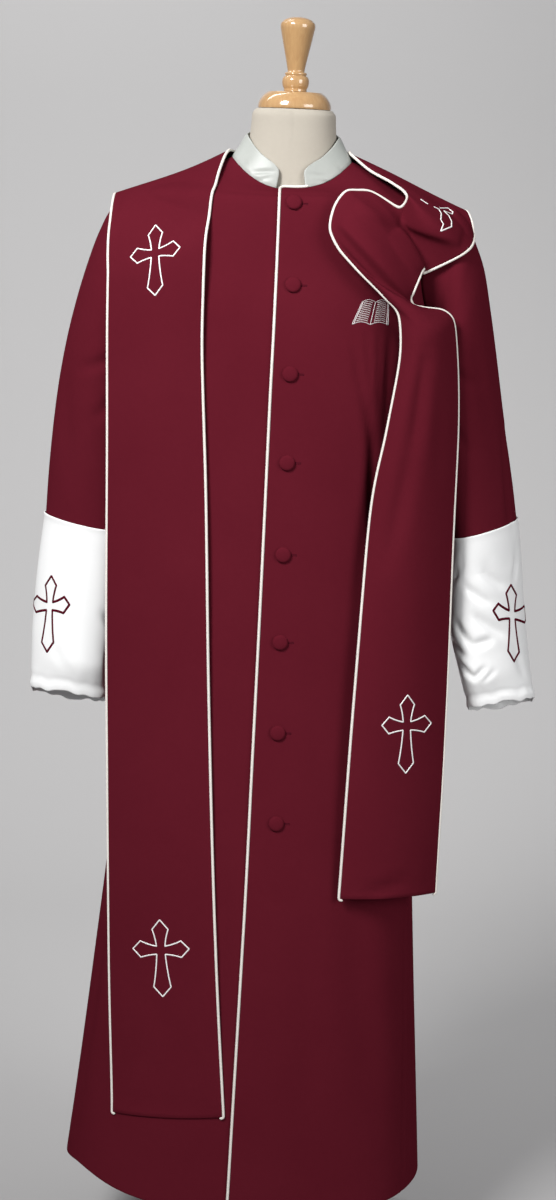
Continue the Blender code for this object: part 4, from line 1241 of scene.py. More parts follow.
@dataclass
class Stole:
    """One half of the stole, from the centre back over the shoulder to its end, with its pipings."""

    side: Side
    ribs: tuple[Rib, ...]
    creases: tuple[Crease, ...]
    folds: tuple[Fold, ...] = ()
    columns: int = 44
    rows_per_cell: int = 6
    centre_start: float = 0.0009
    edge_rounds: int = 5
    end_turn: float = 0.006
    end_crease: float = 0.0016
    end_crease_height: float = 0.014
    end_crease_width: float = 0.005
    end_crease_slant: tuple[float, float] = (0.7, 0.6)
    evening: float = 0.2
    wave_height: float = 0.0010
    wave_across: float = 6.5
    wave_down: float = 11
    wave_reach: float = 0.25
    turn_in: tuple[tuple[float, float], ...] = ((0.25, 0.12), (0.42, 0.50), (0.40, 1.00))
    cord: TwistedCord = TwistedCord()

    def ruled(self) -> np.ndarray:
        """Points of the stole before it is laid on the robe, rows by columns."""
        flat = [[*rib.inner, *rib.middle, *rib.outer] for rib in self.ribs]
        places = [
            number + step / (rib.rows * self.rows_per_cell)
            for number, rib in enumerate(self.ribs[:-1])
            for step in range(rib.rows * self.rows_per_cell)
        ]
        last = len(self.ribs) - 1
        rows = monotone(flat, np.array([*places, last - 0.02, last])).reshape(-1, 3, 3)
        inner, middle, outer = (rows[:, k][:, None] for k in range(3))
        shares = spaced_shares(self.columns, 0.012)[None, :, None]
        bow = 4 * shares * (1 - shares)
        points = inner * (1 - shares) + outer * shares + bow * (middle - (inner + outer) / 2)
        points[..., 0] *= self.side.value
        return points

    def cloth(self, tree: BVHTree) -> Cloth:
        """Outer face of the stole, laid on what it touches."""
        clearance = PIPING_RADIUS + SEAM_GAP + STOLE_CLOTH / 2
        points = self.ruled()
        for _ in range(2):
            points = settle(points, tree, clearance, 1)
            beside = (points[:-2] + points[2:]) * self.evening
            points[1:-1] = points[1:-1] * (1 - 2 * self.evening) + beside
        cloth = Cloth(settle(points, tree, clearance, 2))
        ahead = np.where(cloth.points[..., 1] < 0, 1.0, 0.0)
        x, z = cloth.points[..., 0], cloth.points[..., 2]
        cloth.lift(ahead * (crease_lift(self.creases, x, z, 1.0) + fold_lift(self.folds, x, z)))
        cloth.points = settle(cloth.points, tree, clearance, 1)
        cloth.points[0, :, 0] = self.side.value * SEAM_GAP / 2
        cloth.refresh()
        _, down = cloth.lengths()
        to_end = down[-1:] - down
        across = np.linspace(0, 1, points.shape[1])[None]
        start, slant = self.end_crease_slant
        crease = self.end_crease_height * (start + slant * across)
        inside = np.sin(math.pi * across) ** 0.5
        lift = -self.end_crease * bell(to_end, self.end_crease_width, crease) * inside
        wave = self.wave_height * np.sin(self.wave_across * across + self.wave_down * to_end)
        cloth.lift(lift + wave * smoothstep(0.0, self.wave_reach, to_end))
        return cloth

    def edge_path(self, cloth: Cloth, column: int, inward: int, tree: BVHTree) -> np.ndarray:
        """Middle line of the piping beside one long edge, turned in at the stole's end."""
        edge, inside = cloth.points[:, column], cloth.points[:, inward]
        along = np.gradient(edge, axis=0)
        along /= np.linalg.norm(along, axis=1, keepdims=True)
        away = edge - inside
        away -= along * (away * along).sum(axis=1, keepdims=True)
        away /= np.linalg.norm(away, axis=1, keepdims=True)
        path = edge - cloth.normals[:, column] * STOLE_CLOTH / 2 + away * PIPING_RADIUS * PIPING_SEAT
        path[0, 0] = self.side.value * self.centre_start
        path = settle(path, tree, PIPING_RADIUS, 1)
        for _ in range(self.edge_rounds):
            path[2:-2] = path[2:-2] * 0.5 + (path[1:-3] + path[3:-1]) * 0.25
        turn_in = [
            path[-1] + along[-1] * self.end_turn * on - away[-1] * self.end_turn * back
            for on, back in self.turn_in
        ]
        return np.concatenate([path, turn_in])

    def build(self, under: Sequence[Cloth]) -> dict[str, Cloth]:
        """Builds the stole half and its two pipings on the cloths under it.

        Args:
            under: Outer faces of what it lies on.

        Returns:
            Its outer face by its node.
        """
        tree = tree_of(under)
        node = f"stole_{self.side.word}"
        cloth = self.cloth(tree)
        piece = build_shell(f"{node}_cloth", cloth, STOLE_CLOTH, Finish.CLOTH)
        declare(piece, cloth, [node])
        for word, column, inward in (("inner", 0, 3), ("outer", -1, -4)):
            name = f"{node}_piping_{word}"
            path = self.edge_path(cloth, column, inward, tree)
            cord = self.cord.build(f"{name}_cord", path, Finish.PIPING)
            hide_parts(name)
            LOG.info("%s built", cord.name)
        return {node: cloth}


RIGHT_STOLE = (
    Rib(3, (0.0004, 0.0850, 1.588), (0.0004, 0.1180, 1.515), (0.0004, 0.1440, 1.437)),
    Rib(5, (0.0460, 0.0760, 1.594), (0.0720, 0.1090, 1.522), (0.0900, 0.1410, 1.446)),
    Rib(5, (0.0760, 0.0440, 1.604), (0.1200, 0.0780, 1.552), (0.1780, 0.1000, 1.486)),
    Rib(5, (0.0895, 0.0000, 1.608), (0.1680, 0.0050, 1.572), (0.2440, 0.0120, 1.543)),
    Rib(4, (0.1010, -0.0500, 1.580), (0.1720, -0.0620, 1.538), (0.2450, -0.0500, 1.508)),
    Rib(3, (0.1090, -0.0880, 1.532), (0.1760, -0.0950, 1.490), (0.2440, -0.0760, 1.458)),
    Rib(3, (0.1150, -0.1180, 1.472), (0.1790, -0.1130, 1.440), (0.2430, -0.0880, 1.410)),
    Rib(4, (0.1140, -0.1300, 1.366), (0.1770, -0.1190, 1.352), (0.2415, -0.0930, 1.338)),
    Rib(4, (0.0999, -0.1350, 1.136), (0.1680, -0.1220, 1.136), (0.2360, -0.0920, 1.136)),
    Rib(3, (0.0850, -0.1440, 0.858), (0.1560, -0.1290, 0.858), (0.2270, -0.0970, 0.858)),
    Rib(2, (0.0705, -0.1650, 0.633), (0.1440, -0.1500, 0.633), (0.2180, -0.1120, 0.630)),
    Rib(2, (0.0552, -0.1860, 0.438), (0.1310, -0.1700, 0.438), (0.2070, -0.1320, 0.430)),
    Rib(1, (0.0398, -0.2060, 0.273), (0.1180, -0.1900, 0.262), (0.1960, -0.1520, 0.252)),
)
LEFT_STOLE = (
    Rib(3, (0.0004, 0.0850, 1.588), (0.0004, 0.1180, 1.515), (0.0004, 0.1440, 1.437)),
    Rib(5, (0.0460, 0.0760, 1.594), (0.0720, 0.1090, 1.522), (0.0900, 0.1410, 1.446)),
    Rib(5, (0.0740, 0.0440, 1.606), (0.1200, 0.0780, 1.555), (0.1780, 0.1000, 1.490)),
    Rib(3, (0.0800, -0.0050, 1.610), (0.1740, 0.0050, 1.571), (0.2440, 0.0200, 1.541)),
    Rib(3, (0.1110, -0.0350, 1.588), (0.1860, -0.0350, 1.560), (0.2570, -0.0200, 1.508)),
    Rib(2, (0.1420, -0.0650, 1.572), (0.1940, -0.0750, 1.542), (0.2530, -0.0560, 1.496)),
    Rib(2, (0.1600, -0.0900, 1.556), (0.1900, -0.0980, 1.521), (0.2350, -0.0820, 1.480)),
    Rib(2, (0.1490, -0.0840, 1.538), (0.1690, -0.0840, 1.500), (0.1870, -0.0840, 1.455)),
    Rib(2, (0.1050, -0.0940, 1.561), (0.1440, -0.1030, 1.513), (0.1860, -0.0960, 1.461)),
    Rib(2, (0.0800, -0.1050, 1.561), (0.1270, -0.1220, 1.513), (0.1790, -0.1120, 1.448)),
    Rib(2, (0.0600, -0.1180, 1.536), (0.1110, -0.1400, 1.494), (0.1710, -0.1210, 1.429)),
    Rib(2, (0.0560, -0.1280, 1.512), (0.1070, -0.1470, 1.464), (0.1690, -0.1220, 1.418)),
    Rib(2, (0.0670, -0.1370, 1.487), (0.1260, -0.1450, 1.439), (0.1730, -0.1190, 1.4125)),
    Rib(2, (0.0950, -0.1430, 1.456), (0.1580, -0.1500, 1.418), (0.1900, -0.1140, 1.4085)),
    Rib(2, (0.1330, -0.1470, 1.421), (0.1830, -0.1540, 1.397), (0.2110, -0.1090, 1.406)),
    Rib(2, (0.1550, -0.1480, 1.396), (0.1970, -0.1550, 1.374), (0.2290, -0.1020, 1.393)),
    Rib(2, (0.1600, -0.1450, 1.345), (0.1980, -0.1540, 1.330), (0.2370, -0.0950, 1.345)),
    Rib(3, (0.1470, -0.1410, 1.242), (0.1960, -0.1460, 1.242), (0.2440, -0.0900, 1.241)),
    Rib(4, (0.1300, -0.1390, 1.131), (0.1890, -0.1410, 1.131), (0.2460, -0.0890, 1.129)),
    Rib(4, (0.1200, -0.1490, 0.865), (0.1820, -0.1400, 0.865), (0.2500, -0.0890, 0.858)),
    Rib(1, (0.1120, -0.1650, 0.585), (0.1830, -0.1520, 0.585), (0.2490, -0.0980, 0.580)),
)
RIGHT_STOLE_CREASES = (
    Crease(-0.150, 1.300, -0.128, 1.050, 0.0008, 0.016),
    Crease(-0.120, 0.980, -0.150, 0.700, 0.0008, 0.018),
    Crease(-0.150, 0.420, -0.075, 0.330, 0.0016, 0.012),
)
LEFT_STOLE_CREASES = (
    Crease(0.192, 1.3520, 0.182, 1.2250, 0.0060, 0.0130),
    Crease(0.184, 1.2500, 0.155, 1.0600, 0.0045, 0.0140),
    Crease(0.212, 1.3300, 0.222, 1.1700, 0.0012, 0.0120),
    Crease(0.160, 1.1000, 0.175, 0.8600, 0.0008, 0.0180),
    Crease(0.148, 0.5920, 0.212, 0.6120, 0.0030, 0.0080),
)
LEFT_STOLE_FOLDS = (
    Fold(0.067, 1.518, 0.166, 1.420, 0.010, 0.006, 0.022),
    Fold(0.187, 1.460, 0.146, 1.512, 0.007, 0.006, 0.020),
    Fold(0.151, 1.523, 0.2345, 1.495, 0.008, 0.006, 0.022),
    Fold(0.088, 1.532, 0.150, 1.520, 0.005, 0.008, 0.020),
)


@dataclass
class LapTrim:
    """Piping down the lap and round the neckline, the covered buttons and their buttonholes."""

    body: RobeBody
    buttons: tuple[ButtonSpot, ...] = (
        ButtonSpot(0.0052, 1.540),
        ButtonSpot(0.0087, 1.431),
        ButtonSpot(0.0099, 1.312),
        ButtonSpot(0.0111, 1.191),
        ButtonSpot(0.0112, 1.064),
        ButtonSpot(0.0123, 0.942),
        ButtonSpot(0.0144, 0.815),
        ButtonSpot(0.0178, 0.688),
    )
    radius: float = 0.011
    depth: float = 0.0055
    clearance: float = 0.0002
    hole_start: float = 0.009
    hole_end: float = 0.0185
    hole_half: float = 0.0009
    neckline: tuple[float, ...] = (-5, 0, 4, 8, 12, 14)
    corner_levels: float = 0.16
    neck_seat: float = 0.8
    button_steps: int = 48
    cord: TwistedCord = TwistedCord()

    def piping(self) -> None:
        """Builds the piping beside the lap edge, on to the collar's end."""
        body = self.body
        path = []
        for level in body.panel_levels()[:-1:2]:
            if level < body.neck - self.corner_levels:
                x = body.row(level).lap_edge - PIPING_RADIUS * PIPING_SEAT
                path.append(body.point(level, body.angle_at(level, x), PIPING_RADIUS + LAP_GAP))
        out = CLOTH + LAP_GAP + PIPING_RADIUS * self.neck_seat
        for degrees in self.neckline:
            path.append(body.point(body.neck, math.radians(degrees), out))
        piece = self.cord.build("front_piping_cord", np.array(path), Finish.PIPING)
        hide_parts("front_piping")
        LOG.info("%s built", piece.name)

    def profile(self) -> list[tuple[float, float]]:
        """Profile of a covered button, from the middle of its dome to its underside."""
        r, d = self.radius, self.depth
        return [
            (0, d), (0.3 * r, d - 0.0001), (0.6 * r, d - 0.0005), (0.82 * r, d - 0.0012),
            (0.95 * r, d - 0.0024), (r, d - 0.0036), (0.93 * r, 0.0007), (0.8 * r, 0.0), (0, 0),
        ]

    def build_buttons(self) -> None:
        """Builds each covered button, square to the cloth under it."""
        for number, spot in enumerate(self.buttons):
            level = self.body.level_at(spot.height)
            angle = self.body.angle_at(level, spot.x)
            name = f"button_{number + 1}"
            piece = lathe(f"{name}_cover", self.profile(), self.button_steps, Finish.CLOTH)
            place = Vector(self.body.point(level, angle, CLOTH + LAP_GAP + self.clearance))
            way = Vector(self.body.normal(level, angle))
            turn = Vector((0, 0, 1)).rotation_difference(way).to_matrix().to_4x4()
            piece.data.transform(Matrix.Translation(place) @ turn)
            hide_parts(name)
            LOG.info("%s built", piece.name)


@dataclass
class Embroidery:
    """Stitched lines on cloth: outline crosses, an open book and buttonholes."""

    width: float = 0.0021
    height: float = 0.0007
    pitch: float = 0.0007
    ripple: float = 0.22

    def stitched(
        self, name: str, lines: Sequence[np.ndarray], tree: BVHTree, way: Vector, finish: Finish
    ) -> bpy.types.Object:
        """Raised stitching along lines that are dropped on the cloth.

        Args:
            name: Name of the piece.
            lines: Lines in front of the cloth.
            tree: Outer faces of the cloth.
            way: Direction in which the lines drop on the cloth.
            finish: Finish and material.

        Returns:
            The stitching as one piece.
        """
        profile = ((-1.0, -0.2), (-0.75, 0.62), (-0.3, 0.97), (0.3, 0.97), (0.75, 0.62), (1.0, -0.2))
        points: list[np.ndarray] = []
        faces: list[list[int]] = []
        places: list[np.ndarray] = []
        for line in lines:
            dropped, normals = self.dropped(resample(line, self.pitch / 2), tree, way)
            if len(dropped) < 4:
                continue
            along = np.gradient(dropped, axis=0)
            along /= np.linalg.norm(along, axis=1, keepdims=True)
            across = np.cross(normals, along)
            across /= np.linalg.norm(across, axis=1, keepdims=True)
            ripple = 1 + self.ripple * (np.arange(len(dropped)) % 2 - 0.5)
            base = sum(len(block) for block in points)
            block = np.stack([
                dropped + across * side * self.width / 2 + normals * (up * self.height * ripple)[:, None]
                if up > 0 else dropped + across * side * self.width / 2 + normals * up * self.height
                for side, up in profile
            ], axis=1)
            numbers = base + np.arange(block.shape[0] * len(profile)).reshape(block.shape[:2])
            faces += grid_faces(numbers)
            faces += [numbers[0].tolist(), numbers[-1][::-1].tolist()]
            faces += grid_faces(np.stack([numbers[:, -1], numbers[:, 0]], axis=1))
            points.append(block.reshape(-1, 3))
            distance = np.arange(len(dropped)) * self.pitch / 2
            spread = np.linspace(0, self.width, len(profile))
            flat = np.stack(np.broadcast_arrays(spread[None], distance[:, None]), axis=-1)
            places.append(flat.reshape(-1, 2))
        piece = new_piece(name, np.concatenate(points), faces, np.concatenate(places), finish)
        weld(piece)
        return piece

    def dropped(self, line: np.ndarray, tree: BVHTree, way: Vector) -> tuple[np.ndarray, np.ndarray]:
        """Places where a line falls on the cloth, and the cloth's directions there."""
        places, normals = [], []
        for point in line:
            hit, normal, _, _ = tree.ray_cast(Vector(point), way)
            if hit is None:
                continue
            places.append(hit[:])
            normals.append((normal if normal.dot(way) < 0 else -normal)[:])
        return np.array(places), np.array(normals)


class Outline(NamedTuple):
    """A cross on the cloth by its four tips, each as X and Z."""

    top: tuple[float, float]
    bottom: tuple[float, float]
    right: tuple[float, float]
    left: tuple[float, float]


@dataclass
class Ornament:
    """Outline crosses, the open book and the buttonholes, all stitched on their cloth."""

    stitching: Embroidery
    trim: LapTrim
    eye: Vector
    drop: float = 0.6
    upright: float = 0.0416
    foot: float = 0.0664
    arm: float = 0.0392
    bow: float = 0.0008
    bow_points: int = 6
    half: tuple[tuple[float, float], ...] = (
        (0.0, 0.0416), (0.0112, 0.0280), (0.0060, 0.0045), (0.0283, 0.0115), (0.0392, 0.0),
        (0.0283, -0.0115), (0.0060, -0.0070), (0.0120, -0.0528), (0.0, -0.0664),
    )
    long_sides: tuple[int, ...] = (1, 2, 5, 6)
    right_stole: tuple[Outline, ...] = (
        Outline((-0.182, 1.5035), (-0.1776, 1.4096), (-0.147, 1.474), (-0.215, 1.457)),
        Outline((-0.1406, 0.542), (-0.1316, 0.4335), (-0.095, 0.504), (-0.175, 0.4925)),
    )
    left_stole: tuple[Outline, ...] = (
        Outline((0.1966, 0.8732), (0.1996, 0.7615), (0.2255, 0.830), (0.155, 0.832)),
    )
    right_cuff: tuple[Outline, ...] = (
        Outline((-0.320, 1.003), (-0.323, 0.893), (-0.287, 0.960), (-0.348, 0.947)),
    )
    left_cuff: tuple[Outline, ...] = (
        Outline((0.345, 1.0215), (0.3555, 0.9115), (0.3665, 0.958), (0.307, 0.975)),
    )
    fold_depth: float = -0.05
    fold_reach: float = 0.25
    fold_foot: tuple[tuple[float, float], ...] = (
        (0.1980, 1.5430), (0.2045, 1.5405), (0.2085, 1.5343), (0.2082, 1.5260), (0.2120, 1.5207),
        (0.2090, 1.5112), (0.2234, 1.5175), (0.2230, 1.5249), (0.2189, 1.5320), (0.2120, 1.5381),
    )
    fold_side: tuple[tuple[float, float], ...] = (
        (0.2120, 1.5381), (0.2234, 1.5345), (0.2246, 1.5373), (0.2173, 1.5423), (0.2063, 1.5418),
    )
    fold_tip: tuple[tuple[float, float], ...] = ((0.1790, 1.5526), (0.1894, 1.5465))
    book_centre: tuple[float, float] = (0.119, 1.397)
    book_half: float = 0.0215
    book_height: float = 0.030
    book_sag: float = 0.0035
    book_rules: int = 11
    book_lean: float = 0.20
    book_flare: float = 0.30
    book_margin: float = 0.92
    page_points: int = 12
    bar_reach: float = 1.6

    def contour(self) -> np.ndarray:
        """Closed outline of the plain cross, with its long sides bowed in."""
        right = [np.array(point) for point in self.half]
        sides: list[np.ndarray] = []
        for number, (start, end) in enumerate(zip(right, right[1:])):
            bow = self.bow if number in self.long_sides else 0.0
            square = np.array([end[1] - start[1], start[0] - end[0]])
            square /= np.linalg.norm(square)
            inward = square if square @ (start + end) < 0 else -square
            for share in np.linspace(0, 1, self.bow_points, endpoint=False):
                sides.append(start + (end - start) * share + inward * bow * 4 * share * (1 - share))
        sides.append(right[-1])
        mirrored = [point * np.array([-1.0, 1.0]) for point in reversed(sides)]
        return np.array([*sides, *mirrored[1:]])

    def cross_line(self, spot: Outline) -> np.ndarray:
        """Outline of one cross in front of the cloth, fitted to its four tips."""
        top, bottom, right, left = (np.array(tip) for tip in spot)
        up = (top - bottom) / (self.upright + self.foot)
        across = (right - left) / (2 * self.arm)
        centre = (top - self.upright * up + (right + left) / 2) / 2
        flat = centre + self.contour()[:, :1] * across + self.contour()[:, 1:] * up
        return np.stack([flat[:, 0], np.full(len(flat), -self.drop), flat[:, 1]], axis=-1)

    def book_lines(self) -> list[np.ndarray]:
        """Lines of a plain open book: two curved pages, a spine and ruled lines."""
        z = self.book_centre[1]
        shares = np.linspace(0, 1, self.page_points)
        lines = []
        for way in (-1, 1):
            rise = self.book_sag * np.sin(math.pi * shares)
            for rule in range(self.book_rules + 1):
                level = (rule / self.book_rules - 0.5) * self.book_height
                across = self.book_x(way * shares, level)
                line = np.stack([across, np.full(len(shares), -self.drop), z + level + rise], axis=-1)
                edge = rule in (0, self.book_rules)
                lines.append(line if edge else line[2:-2])
            lines.append(self.upright_line(way))
            lines.append(self.upright_line(way * self.book_margin))
        lines.append(self.upright_line(0))
        return lines

    def book_x(self, share: float | np.ndarray, level: float) -> float | np.ndarray:
        """X on the book at a share of its half width, and a height from its middle."""
        half = self.book_half * (1 - self.book_flare * level / self.book_height)
        return self.book_centre[0] + share * half + self.book_lean * level

    def upright_line(self, share: float) -> np.ndarray:
        """Line as tall as the book, at a share of its half width."""
        ends = (-self.book_height / 2, self.book_height / 2)
        return np.array([(self.book_x(share, end), -self.drop, self.book_centre[1] + end) for end in ends])

    def fold_lines(self, way: Vector) -> list[np.ndarray]:
        """What shows of the cross on the shoulder fold, in front of the cloth along the line of sight."""
        back = np.array(way) * self.fold_reach
        return [
            np.array([(x, self.fold_depth, z) for x, z in line]) - back
            for line in (self.fold_foot, self.fold_side, self.fold_tip)
        ]

    def hole_lines(self) -> list[np.ndarray]:
        """Two stitched edges and a bar for each buttonhole."""
        lines = []
        for spot in self.trim.buttons:
            start, end = spot.x + self.trim.hole_start, spot.x + self.trim.hole_end
            half = self.trim.hole_half
            for side in (-1, 1):
                height = spot.height + side * half
                lines.append(np.array([(start, -self.drop, height), (end, -self.drop, height)]))
            reach = self.bar_reach * half
            bar = [(end, -self.drop, spot.height + side * reach) for side in (-1, 1)]
            lines.append(np.array(bar))
        return lines

    def build(self, cloths: dict[str, Cloth]) -> None:
        """Stitches every ornament on its cloth.

        Args:
            cloths: Outer faces by node.
        """
        ahead = Vector((0, 1, 0))
        thin = Embroidery(width=0.0010, height=0.00045)
        rules = Embroidery(width=0.0013, height=0.0006)
        heavy = Embroidery(width=0.0040, height=0.0007)
        for node, spots, stitching, finish in (
            ("stole_right", self.right_stole, self.stitching, Finish.WHITE_THREAD),
            ("stole_left", self.left_stole, self.stitching, Finish.WHITE_THREAD),
            ("cuff_right", self.right_cuff, heavy, Finish.BURGUNDY_THREAD),
            ("cuff_left", self.left_cuff, heavy, Finish.BURGUNDY_THREAD),
        ):
            lines = [self.cross_line(spot) for spot in spots]
            name = f"{node}_crosses"
            stitching.stitched(name, lines, tree_of([cloths[node]]), ahead, finish)
            LOG.info("%s stitched", name)
        stole = tree_of([cloths["stole_left"]])
        x, z = self.fold_foot[0]
        sight = (Vector((x, self.fold_depth, z)) - self.eye).normalized()
        self.stitching.stitched(
            "stole_left_fold_cross", self.fold_lines(sight), stole, sight, Finish.WHITE_THREAD
        )
        front = tree_of([cloths["front_left"]])
        rules.stitched("open_book", self.book_lines(), front, ahead, Finish.SILVER_THREAD)
        # The buttonholes' dark thread also stands in for the slit's shade: painted shade.
        thin.stitched("buttonholes", self.hole_lines(), front, ahead, Finish.HOLE_THREAD_SLIT_SHADE)
        LOG.info("open book and buttonholes stitched")


class Neck(NamedTuple):
    """One ring of the form's neck."""

    height: float
    half_width: float
    front: float
    back: float
    front_drop: float
    back_rise: float


@dataclass
class DressForm:
    """Padded linen torso, its turned neck cap and finial, and its stand."""

    body: RobeBody
    bottom: float = 0.90
    first_level: float = 4.95
    cap_bottom: float = 1.6675
    finial_bottom: float = 1.6913
    base_height: float = 0.022
    base_radius: float = 0.185
    pole_radius: float = 0.0125
    columns: int = 128
    torso_steps: int = 70
    below_neckline: float = 0.08
    places: tuple[float, ...] = (5.0, 8.0, 9.6, 10.4, 12.0)
    clearances: tuple[float, ...] = (0.030, 0.016, 0.004, 0.0008, 0.0008)
    neck: tuple[Neck, ...] = (
        Neck(1.597, 0.0760, 0.0520, 0.0560, 0.0415, 0.0190),
        Neck(1.606, 0.0680, 0.0495, 0.0535, 0.0385, 0.0190),
        Neck(1.622, 0.0615, 0.0490, 0.0520, 0.0265, 0.0150),
        Neck(1.645, 0.0590, 0.0500, 0.0520, 0.0080, 0.0040),
        Neck(1.660, 0.0580, 0.0515, 0.0520, 0.0025, 0.0010),
        Neck(1.6672, 0.0530, 0.0500, 0.0500, 0.0000, 0.0000),
    )
    neck_steps: int = 24
    turned_steps: int = 96

    def cap(self) -> list[tuple[float, float]]:
        """Profile of the turned cap."""
        return [
            (0.0, 1.6910), (0.0385, 1.6910), (0.0389, 1.6901), (0.0412, 1.6888), (0.0455, 1.6848),
            (0.0498, 1.6780), (0.0512, 1.6715), (0.0510, 1.6690), (0.0503, self.cap_bottom),
            (0.0, self.cap_bottom),
        ]

    def finial(self) -> list[tuple[float, float]]:
        """Profile of the turned finial."""
        return [
            (0.0, 1.7930), (0.0100, 1.7926), (0.0168, 1.7902), (0.0203, 1.7880), (0.0213, 1.7864),
            (0.0238, 1.7846), (0.0245, 1.7800), (0.0235, 1.7740), (0.0120, 1.7222), (0.0118, 1.7184),
            (0.0152, 1.7174), (0.0156, 1.7155), (0.0148, 1.7140), (0.0146, 1.7134), (0.0168, 1.7122),
            (0.0187, 1.7085), (0.0189, 1.7040), (0.0182, 1.6990), (0.0160, 1.6958), (0.0160, 1.6935),
            (0.0164, self.finial_bottom),
            (0.0, self.finial_bottom),
        ]

    def base(self) -> list[tuple[float, float]]:
        """Profile of the round base."""
        return [
            (0.0, self.base_height), (0.0300, self.base_height), (0.1700, 0.0150), (0.1820, 0.0110),
            (self.base_radius, 0.0060), (0.1820, 0.0), (0.0, 0.0),
        ]

    def torso_rings(self) -> np.ndarray:
        """Rings of the torso and neck, bottom to top."""
        turns = full_turn(self.columns)[None]
        levels = np.linspace(self.first_level, self.body.neck - self.below_neckline, self.torso_steps)
        angles = np.broadcast_to(turns, (len(levels), self.columns))
        cloth = Cloth(self.body.shape(levels, angles), closed=True)
        inset = CLOTH + np.interp(levels, self.places, self.clearances)
        torso = cloth.points - inset[:, None, None] * cloth.normals
        torso[0, :, 2] = self.bottom
        rows = monotone(self.neck, np.linspace(0, len(self.neck) - 1, self.neck_steps))
        neck = self.body.oval(turns, *(rows[:, [k]] for k in range(6)))
        return np.concatenate([torso, neck])

    def build(self) -> None:
        """Builds the torso, the wooden pieces and the stand."""
        rings = self.torso_rings()
        rows = len(rings)
        numbers = np.arange(rows * self.columns).reshape(rows, self.columns)
        faces = grid_faces(np.concatenate([numbers, numbers[:, :1]], axis=1))
        faces += [numbers[0].tolist(), numbers[-1][::-1].tolist()]
        places = np.stack(Cloth(rings, closed=True).lengths(), axis=-1).reshape(-1, 2)
        torso = new_piece("form_torso_linen", rings.reshape(-1, 3), faces, places, Finish.LINEN)
        weld(torso)
        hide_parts("form_torso")
        LOG.info("%s built", torso.name)
        pole = [(0.0, self.bottom), (self.pole_radius, self.bottom), (self.pole_radius, self.base_height),
                (0.0, self.base_height)]
        for node, profile, rounds, finish in (
            ("neck_cap", self.cap(), 2, Finish.MAPLE),
            ("neck_finial", self.finial(), 3, Finish.MAPLE),
            ("stand_base", self.base(), 2, Finish.METAL),
            ("stand_pole", pole, 0, Finish.METAL),
        ):
            piece = lathe(f"{node}_turned", profile, self.turned_steps, finish, rounds)
            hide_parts(node)
            LOG.info("%s built", piece.name)


class Group:
    """Shader node group under construction, with its inputs and outputs."""

    def __init__(self, name: str, inputs: dict[str, float], outputs: Sequence[str]) -> None:
        """Makes the group and its sockets, each input with its first value."""
        self.tree = bpy.data.node_groups.new(name, "ShaderNodeTree")
        for socket in inputs:
            made = self.tree.interface.new_socket(socket, in_out="INPUT", socket_type="NodeSocketFloat")
            made.default_value = inputs[socket]
        self.tree.interface.new_socket("Place", in_out="INPUT", socket_type="NodeSocketVector")
        for socket in outputs:
            self.tree.interface.new_socket(socket, in_out="OUTPUT", socket_type="NodeSocketFloat")
        self.start = self.tree.nodes.new("NodeGroupInput")
        self.end = self.tree.nodes.new("NodeGroupOutput")

    def node(self, kind: str, **settings: object) -> bpy.types.Node:
        """Adds a node with its settings."""
        node = self.tree.nodes.new(kind)
        for name, value in settings.items():
            setattr(node, name, value)
        return node

    def math(self, operation: str, *values: bpy.types.NodeSocket | float) -> bpy.types.NodeSocket:
        """Adds a Math node and gives its result."""
        node = self.node("ShaderNodeMath", operation=operation)
        for socket, value in zip(node.inputs, values):
            if isinstance(value, (int, float)):
                socket.default_value = value
            else:
                self.tree.links.new(value, socket)
        return node.outputs[0]

    def link(self, source: bpy.types.NodeSocket, target: bpy.types.NodeSocket) -> None:
        """Joins two sockets."""
        self.tree.links.new(source, target)


def woven_threads() -> bpy.types.NodeTree:
    """Group that gives the height of a plain weave from places in metres."""
    group = Group("woven threads", {"Pitch": 0.0006}, ["Height"])
    split = group.node("ShaderNodeSeparateXYZ")
    group.link(group.start.outputs["Place"], split.inputs[0])
    turns = group.math("DIVIDE", 2 * math.pi, group.start.outputs["Pitch"])
    across = group.math("MULTIPLY", split.outputs[0], turns)
    along = group.math("MULTIPLY", split.outputs[1], turns)
    over = group.math("MULTIPLY", group.math("SINE", across), group.math("SINE", along))
    group.link(group.math("MULTIPLY_ADD", over, 0.5, 0.5), group.end.inputs["Height"])
    return group.tree


def cloth_mottle(broad_share: float = 0.65) -> bpy.types.NodeTree:
    """Group that gives a soft uneven mask at two sizes, with this share of the broad one."""
    group = Group("cloth mottle", {"Broad": 9.0, "Fine": 160.0}, ["Mask"])
    masks = []
    for name in ("Broad", "Fine"):
        noise = group.node("ShaderNodeTexNoise")
        noise.inputs["Detail"].default_value = 3.0
        group.link(group.start.outputs["Place"], noise.inputs["Vector"])
        group.link(group.start.outputs[name], noise.inputs["Scale"])
        masks.append(noise.outputs["Fac"])
    fine = group.math("MULTIPLY", masks[1], 1 - broad_share)
    mixed = group.math("MULTIPLY_ADD", masks[0], broad_share, fine)
    group.link(mixed, group.end.inputs["Mask"])
    return group.tree


def new_finish(name: str) -> tuple[bpy.types.Material, bpy.types.Node]:
    """New material of this name, with its surface shader."""
    material = bpy.data.materials.new(name)
    material.use_nodes = True
    return material, material.node_tree.nodes["Principled BSDF"]


def mix_colours(
    tree: bpy.types.NodeTree, mask: bpy.types.NodeSocket, first: Sequence[float], second: Sequence[float]
) -> None:
    """Gives a material a base colour that a mask mixes from two."""
    colours = tree.nodes.new("ShaderNodeMix")
    colours.data_type = "RGBA"
    colours.inputs["A"].default_value = (*first, 1)
    colours.inputs["B"].default_value = (*second, 1)
    tree.links.new(mask, colours.inputs["Factor"])
    tree.links.new(colours.outputs["Result"], tree.nodes["Principled BSDF"].inputs["Base Color"])


